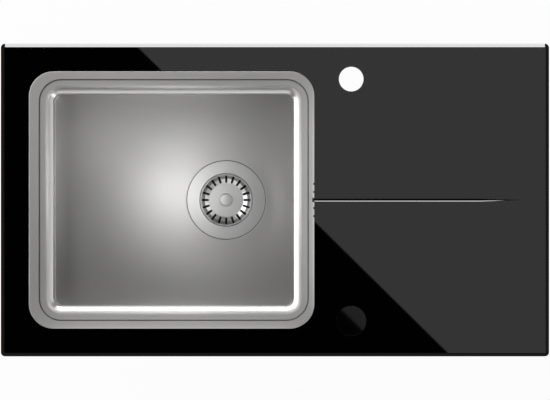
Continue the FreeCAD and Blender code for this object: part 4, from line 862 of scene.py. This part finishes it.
class SINK_OT_bowl(bpy.types.Operator):
    """Make the pressed steel bowl"""

    bl_idname = "sink.bowl"
    bl_label = "Bowl"

    def execute(self, context):
        sizes = context.scene.sink_bowl
        mesh = cut_away(bowl_mesh(sizes), bowl_cutters(sizes))
        mark_outside(mesh, sizes)
        finished_piece("bowl_pressing", mesh, "bowl", "sink", ["bowl"])
        return {"FINISHED"}


# Waste
THROAT_TAPER = (-3 * MM, -5 * MM)
DRAIN_RING = 21.5 * MM
DRAIN_HOLE = 12 * MM
DRAIN_CUT = 8 * MM
CUP_BORE = 3.2 * MM
SLOT_CUT = 60 * MM
BUTTON_STEM = 3 * MM
BUTTON_CROWN = 0.2 * MM
BUTTON_EDGE = 4 * MM


class SINK_OT_dish(bpy.types.Operator):
    """Make the strainer dish with its ring of drain holes"""

    bl_idname = "sink.dish"
    bl_label = "Strainer dish"

    def execute(self, context):
        sizes = context.scene.sink_waste
        sheet, throat, seat = sizes.dish_sheet, sizes.throat_radius, sizes.seat_radius
        profile = rounded_line([
            (sizes.hub_radius, -sizes.seat_depth - sheet),
            (seat + sheet, -sizes.seat_depth - sheet),
            (seat + sheet, -sizes.seat_depth),
            (throat + sheet, -sizes.throat_depth),
            (throat + sheet, -sheet),
            (sizes.dish_radius, -sheet),
            (sizes.dish_radius, 0, 0.15 * MM),
            (sizes.throat_lip, 0, 0.4 * MM),
            (sizes.throat_lip, THROAT_TAPER[0]),
            (throat, THROAT_TAPER[1]),
            (throat, -sizes.throat_depth),
            (seat, -sizes.seat_depth),
            (sizes.hub_radius, -sizes.seat_depth),
        ], steps=8, guard=0.1 * MM)
        centre = (WASTE_X, 0, RING_TOP)
        holes = Vector(centre) - Vector((0, 0, sizes.seat_depth))
        mesh = perforated(lathe("dish_skin", profile, centre), "waste", holes, sizes.drain_holes, DRAIN_RING,
                          DRAIN_HOLE, DRAIN_HOLE, DRAIN_CUT)
        finished_piece("dish_pressing", mesh, "waste", "sink", ["strainer_dish"])
        return {"FINISHED"}


class SINK_OT_basket(bpy.types.Operator):
    """Make the slotted basket and its lifting button"""

    bl_idname = "sink.basket"
    bl_label = "Basket"

    def execute(self, context):
        sizes = context.scene.sink_waste
        self.make_cup(sizes)
        self.make_button(sizes)
        return {"FINISHED"}

    def make_cup(self, sizes):
        sheet, top, floor = sizes.cup_sheet, CUP_HIGH[2], CUP_LOW[2] + sizes.cup_sheet
        waist = floor + sizes.cup_waist_rise
        profile = rounded_line([
            (CUP_BORE, floor - sheet),
            (sizes.cup_floor + sheet / 2, floor - sheet, 1.5 * MM),
            (sizes.cup_waist + sheet, waist - sheet, 1.5 * MM),
            (sizes.cup_mouth + sheet, top - sheet, 0.2 * MM),
            (sizes.cup_rim, top - sheet, 0.4 * MM),
            (sizes.cup_rim, top, 0.4 * MM),
            (sizes.cup_mouth, top, 0.6 * MM),
            (sizes.cup_waist, waist, 1.0 * MM),
            (sizes.cup_floor, floor, 0.8 * MM),
            (CUP_BORE, floor),
        ], steps=6, guard=0.05 * MM)
        mesh = lathe("cup_skin", profile, (WASTE_X, 0, 0), steps=160)
        slot = sizes.slot_outer - sizes.slot_inner
        middle = (sizes.slot_outer + sizes.slot_inner) / 2
        mesh = perforated(mesh, "waste", (WASTE_X, 0, floor), sizes.slots, middle, slot, sizes.slot_width,
                          SLOT_CUT)
        finished_piece("basket_pressing", mesh, "waste", "basket", ["basket_cup"])

    def make_button(self, sizes):
        low, top, floor = BUTTON_LOW[2], BUTTON_HIGH[2], CUP_LOW[2] + sizes.cup_sheet
        radius, neck, side = sizes.button_radius, sizes.button_neck, top - BUTTON_CROWN
        dome = dome_points(radius, BUTTON_CROWN, top, margin=1.3 * MM, steps=12)
        profile = rounded_line([
            (0, low),
            (BUTTON_STEM, low),
            (BUTTON_STEM, floor),
            (neck, floor, 0.2 * MM),
            (neck, side - BUTTON_EDGE, 0.8 * MM),
            (radius, side - BUTTON_EDGE, 0.7 * MM),
            (radius, side, 1.2 * MM),
            dome[0],
        ], steps=6, guard=0.05 * MM) + dome[1:]
        mesh = lathe("button_skin", profile, (WASTE_X, 0, 0), closed=False, steps=96)
        finished_piece("basket_handle", mesh, "waste", "basket", ["basket_button"])


# Knob
KNOB_CROWN = 3 * MM
KNOB_WALL = 1.4 * MM
KNOB_HOLLOW = 3.0 * MM


class SINK_OT_knob(bpy.types.Operator):
    """Make the domed control knob"""

    bl_idname = "sink.knob"
    bl_label = "Control knob"

    def execute(self, context):
        low, top, radius = KNOB_LOW[2], KNOB_HIGH[2], (KNOB_HIGH[0] - KNOB_LOW[0]) / 2
        dome = dome_points(radius, KNOB_CROWN, top, margin=0.6 * MM, steps=24)
        profile = rounded_line([
            (0, low + KNOB_HOLLOW),
            (radius - KNOB_WALL, low + KNOB_HOLLOW, 0.5 * MM),
            (radius - KNOB_WALL, low),
            (radius, low, 0.4 * MM),
            (radius, top - KNOB_CROWN, 0.5 * MM),
            dome[0],
        ], steps=10, guard=0.05 * MM) + dome[1:]
        mesh = lathe("knob_skin", profile, (KNOB_X, KNOB_Y, 0), closed=False, steps=128)
        finished_piece("knob_dome", mesh, "knob", "knob", ["control_knob"], bend=40)
        return {"FINISHED"}


# CAD nodes that keep their own shape
NODE_FINISH = {
    "glass": ["glass_top"],
    "tray": ["support_tray", "clip_brackets"],
    "waste": ["clamp_bolt", "basket_stem", "lift_pin", "overflow_grille", "overflow_screw"],
    "zinc": ["clip_screws", "lever_shaft", "crank_arm", "crank_screw", "cable_stop", "knob_spindle",
             "spindle_clip", "bush_washer"] + [f"clip_claw_{index}" for index in range(1, 9)],
    "brass": ["cable_gland", "knob_gland"],
    "pale": ["waste_body", "waste_spider", "waste_tail", "gland_nut", "overflow_elbow", "overflow_pipe",
             "overflow_nuts"],
    "dark": ["lift_arm", "cable_drum", "knob_bush", "bush_nut", "cable_housing"],
    "rubber": ["bowl_gasket", "dish_seal", "lower_seal", "basket_stopper", "shaft_seal", "overflow_seal",
               "bush_seal"],
    "foam": ["worktop_seal"],
    "pad": ["sound_pads"],
}


class SINK_OT_finish(bpy.types.Operator):
    """Make the materials and give each CAD node its finish"""

    bl_idname = "sink.finish"
    bl_label = "Finishes"

    def execute(self, context):
        make_materials(context.scene.sink_finish, context.scene.sink_bowl)
        for finish, names in NODE_FINISH.items():
            for name in names:
                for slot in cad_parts[name].material_slots:
                    slot.material = material_of(finish)
        return {"FINISHED"}


# Stage
FLOOR_COLOUR = (0.86, 0.86, 0.86)
FLOOR_GAP = 1 * MM
FLOOR_GLOW = 0.95
SKY_STOPS = ((0.0, 0.16), (0.45, 0.30), (0.9, 0.004))
SOFTBOX_TURN = math.radians(-44.6)
SOFTBOX_EDGE = (0.0214, 0.0057, 1.3)
SOFTBOX_SIZE = (2.4, 1.6)
PANEL_AIM = (-0.144, 0, -0.05)
PANEL_REACH = 1.5
DOWN = Vector((0, 0, -1))
CAMERA_X = 0.00007


def area_light(name, place, target, size, radiance, turn=0.0):
    """A rectangular light whose radiance is given, aimed at a point and turned about its own axis."""
    light = bpy.data.lights.new(name, "AREA")
    light.shape = "RECTANGLE"
    light.size, light.size_y = size
    light.energy = radiance * math.pi * size[0] * size[1]
    lamp = new_object(name, light)
    aim = (Vector(target) - Vector(place)).to_track_quat("-Z", "Y")
    lamp.rotation_euler = aim.to_euler()
    lamp.location = place
    lamp.visible_camera = False
    if turn:
        lamp.rotation_euler.rotate_axis("Z", turn)
    return lamp


def show_to_rays(tree, kinds, share, plain, shown, output):
    """Shows one shader to the named kinds of rays, by a share, and the plain one to all others."""
    rays = add_node(tree, "ShaderNodeLightPath").outputs
    seen = rays[kinds[0]]
    for kind in kinds[1:]:
        seen = math_node(tree, "MAXIMUM", seen, rays[kind])
    mix = fed_node(tree, "ShaderNodeMixShader", 0, math_node(tree, "MULTIPLY", seen, share))
    tree.links.new(plain.outputs[0], mix.inputs[1])
    tree.links.new(shown.outputs[0], mix.inputs[2])
    tree.links.new(mix.outputs[0], tree.nodes[output].inputs["Surface"])


def floor_material():
    """Pale floor that the camera and reflections see as white, with a little of its own shade."""
    tree, shader = new_material("floor", FLOOR_COLOUR, 0.0)
    shader.inputs["Roughness"].default_value = 0.9
    glow = add_node(tree, "ShaderNodeEmission")
    kinds = ("Is Camera Ray", "Is Glossy Ray", "Is Transmission Ray")
    show_to_rays(tree, kinds, FLOOR_GLOW, shader, glow, "Material Output")


def studio_world(strength):
    """Soft surround, pale low down and dark straight above. The camera sees plain white instead."""
    world = bpy.data.worlds.new("Studio")
    world.use_nodes = True
    tree = world.node_tree
    place = add_node(tree, "ShaderNodeTexCoord")
    split = fed_node(tree, "ShaderNodeSeparateXYZ", 0, place.outputs["Generated"])
    ramp = fed_node(tree, "ShaderNodeValToRGB", "Fac", split.outputs["Z"])
    stops = ramp.color_ramp.elements
    stops.new(SKY_STOPS[1][0])
    for stop, (position, grey) in zip(stops, SKY_STOPS):
        stop.position = position
        stop.color = (grey, grey, grey, 1)
    background = tree.nodes["Background"]
    background.inputs["Strength"].default_value = strength
    tree.links.new(ramp.outputs["Color"], background.inputs["Color"])
    white = add_node(tree, "ShaderNodeBackground")
    white.inputs["Color"].default_value = (1.0, 1.0, 1.0, 1.0)
    show_to_rays(tree, ("Is Camera Ray", "Is Transmission Ray"), 1.0, background, white, "World Output")
    bpy.context.scene.world = world


class SINK_OT_stage(bpy.types.Operator):
    """Make the floor, the lights and the camera"""

    bl_idname = "sink.stage"
    bl_label = "Stage"

    def execute(self, context):
        stage = context.scene.sink_stage
        self.make_floor(stage)
        self.make_lights(stage)
        self.make_camera(stage)
        studio_world(stage.surround_level)
        context.scene.view_settings.view_transform = "Standard"
        return {"FINISHED"}

    def make_floor(self, stage):
        half, height = stage.floor_size / 2, CAD_BOX[0][2] - FLOOR_GAP
        mesh = bpy.data.meshes.new("floor")
        mesh.from_pydata([(-half, -half, height), (half, -half, height), (half, half, height),
                          (-half, half, height)], [], [(0, 1, 2, 3)])
        floor_material()
        mesh.materials.append(material_of("floor"))
        floor = new_object("floor", mesh)

    def make_lights(self, stage):
        away = Vector((-math.sin(SOFTBOX_TURN), math.cos(SOFTBOX_TURN), 0))
        middle = Vector(SOFTBOX_EDGE) + away * SOFTBOX_SIZE[1] / 2
        area_light("drainer_softbox", middle, middle + DOWN, SOFTBOX_SIZE, stage.softbox_level, SOFTBOX_TURN)
        area_light("rear_strip", place=(0, 1.6, 0.343), target=(0, 0.11, 0.006), size=(0.86, 0.115),
                   radiance=6.4)
        lamps = []
        for name, place, size, radiance in (
            ("floor_box", (-0.238, 0.088, 0.25), (0.08, 0.06), 0.9),
            ("bowl_box_low", (-0.139, 0.014, 0.25), (0.06, 0.06), stage.bowl_level),
            ("bowl_box_high", (-0.139, 0.014, 0.40), (0.08, 0.08), stage.bowl_level),
            ("front_low_box", (-0.144, -0.275, 0.15), (0.36, 0.15), stage.low_level),
            ("right_low_box", (0.135, 0.0, 0.15), (0.13, 0.30), stage.low_level),
        ):
            lamps.append(area_light(name, place, Vector(place) + DOWN, size, radiance))
        for name, turn, rise, size, radiance in (
            ("left_panel", 180, 30, (1.2, 0.74), stage.left_level),
            ("left_high_panel", 180, 72, (1.2, 0.26), 0.7),
            ("rear_panel", 90, 34, (1.2, 0.56), stage.rear_level),
            ("corner_panel", 140, 36, (0.9, 0.62), stage.rear_level),
            ("front_corner_panel", -40, 26, (0.3, 0.4), 8.0),
            ("right_panel", 0, 23, (1.2, 0.3), stage.right_level),
            ("right_high_panel", 0, 52, (1.2, 0.3), 0.5),
            ("front_panel", -90, 23, (1.2, 0.3), stage.right_level),
        ):
            lamps.append(self.side_panel(name, math.radians(turn), math.radians(rise), size, radiance))
        others = self.all_but_glass()
        for lamp in lamps:
            lamp.light_linking.receiver_collection = others

    def all_but_glass(self):
        """The pieces that most lamps light: the black glass and the knob would only mirror those lamps."""
        others = bpy.data.collections.new("all_but_glass")
        others.objects.link(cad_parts["glass_top"])
        others.objects.link(bpy.data.objects["knob_dome"])
        for item in others.collection_objects:
            item.light_linking.link_state = "EXCLUDE"
        return others

    def side_panel(self, name, turn, rise, size, radiance):
        """A panel beside the sink, aimed at the bowl from a given side and height."""
        bowl = Vector(PANEL_AIM)
        away = Vector((math.cos(turn) * math.cos(rise), math.sin(turn) * math.cos(rise), math.sin(rise)))
        return area_light(name, bowl + PANEL_REACH * away, bowl, size, radiance)

    def make_camera(self, stage):
        data = bpy.data.cameras.new("camera")
        data.lens = stage.lens
        data.sensor_width = 36.0
        data.clip_end = 100.0
        camera = new_object("camera", data)
        distance = stage.lens / data.sensor_width * stage.view_width
        camera.location = (CAMERA_X, 0.0, GLASS_TOP + distance)
        bpy.context.scene.camera = camera


class SINK_PT_panel(bpy.types.Panel):
    """Lists the pieces of the sink"""

    bl_idname = "SINK_PT_panel"
    bl_label = "Sink"
    bl_space_type = "VIEW_3D"
    bl_region_type = "UI"
    bl_category = "Sink"

    def draw(self, context):
        for operator in OPERATORS:
            self.layout.operator(operator.bl_idname)


GROUPS = {"sink_bowl": BowlSizes, "sink_waste": WasteSizes, "sink_finish": FinishSettings,
          "sink_stage": StageSettings}
OPERATORS = [SINK_OT_finish, SINK_OT_bowl, SINK_OT_dish, SINK_OT_basket, SINK_OT_knob, SINK_OT_stage]
CLASSES = list(GROUPS.values()) + OPERATORS + [SINK_PT_panel]


def register():
    for item in CLASSES:
        bpy.utils.register_class(item)
    for name, group in GROUPS.items():
        setattr(bpy.types.Scene, name, PointerProperty(type=group))


def unregister():
    for name in GROUPS:
        delattr(bpy.types.Scene, name)
    for item in reversed(CLASSES):
        bpy.utils.unregister_class(item)


def main():
    register()
    bpy.ops.sink.finish()
    bpy.ops.sink.bowl()
    bpy.ops.sink.dish()
    bpy.ops.sink.basket()
    bpy.ops.sink.knob()
    bpy.ops.sink.stage()


if __name__ == "__main__":
    main()
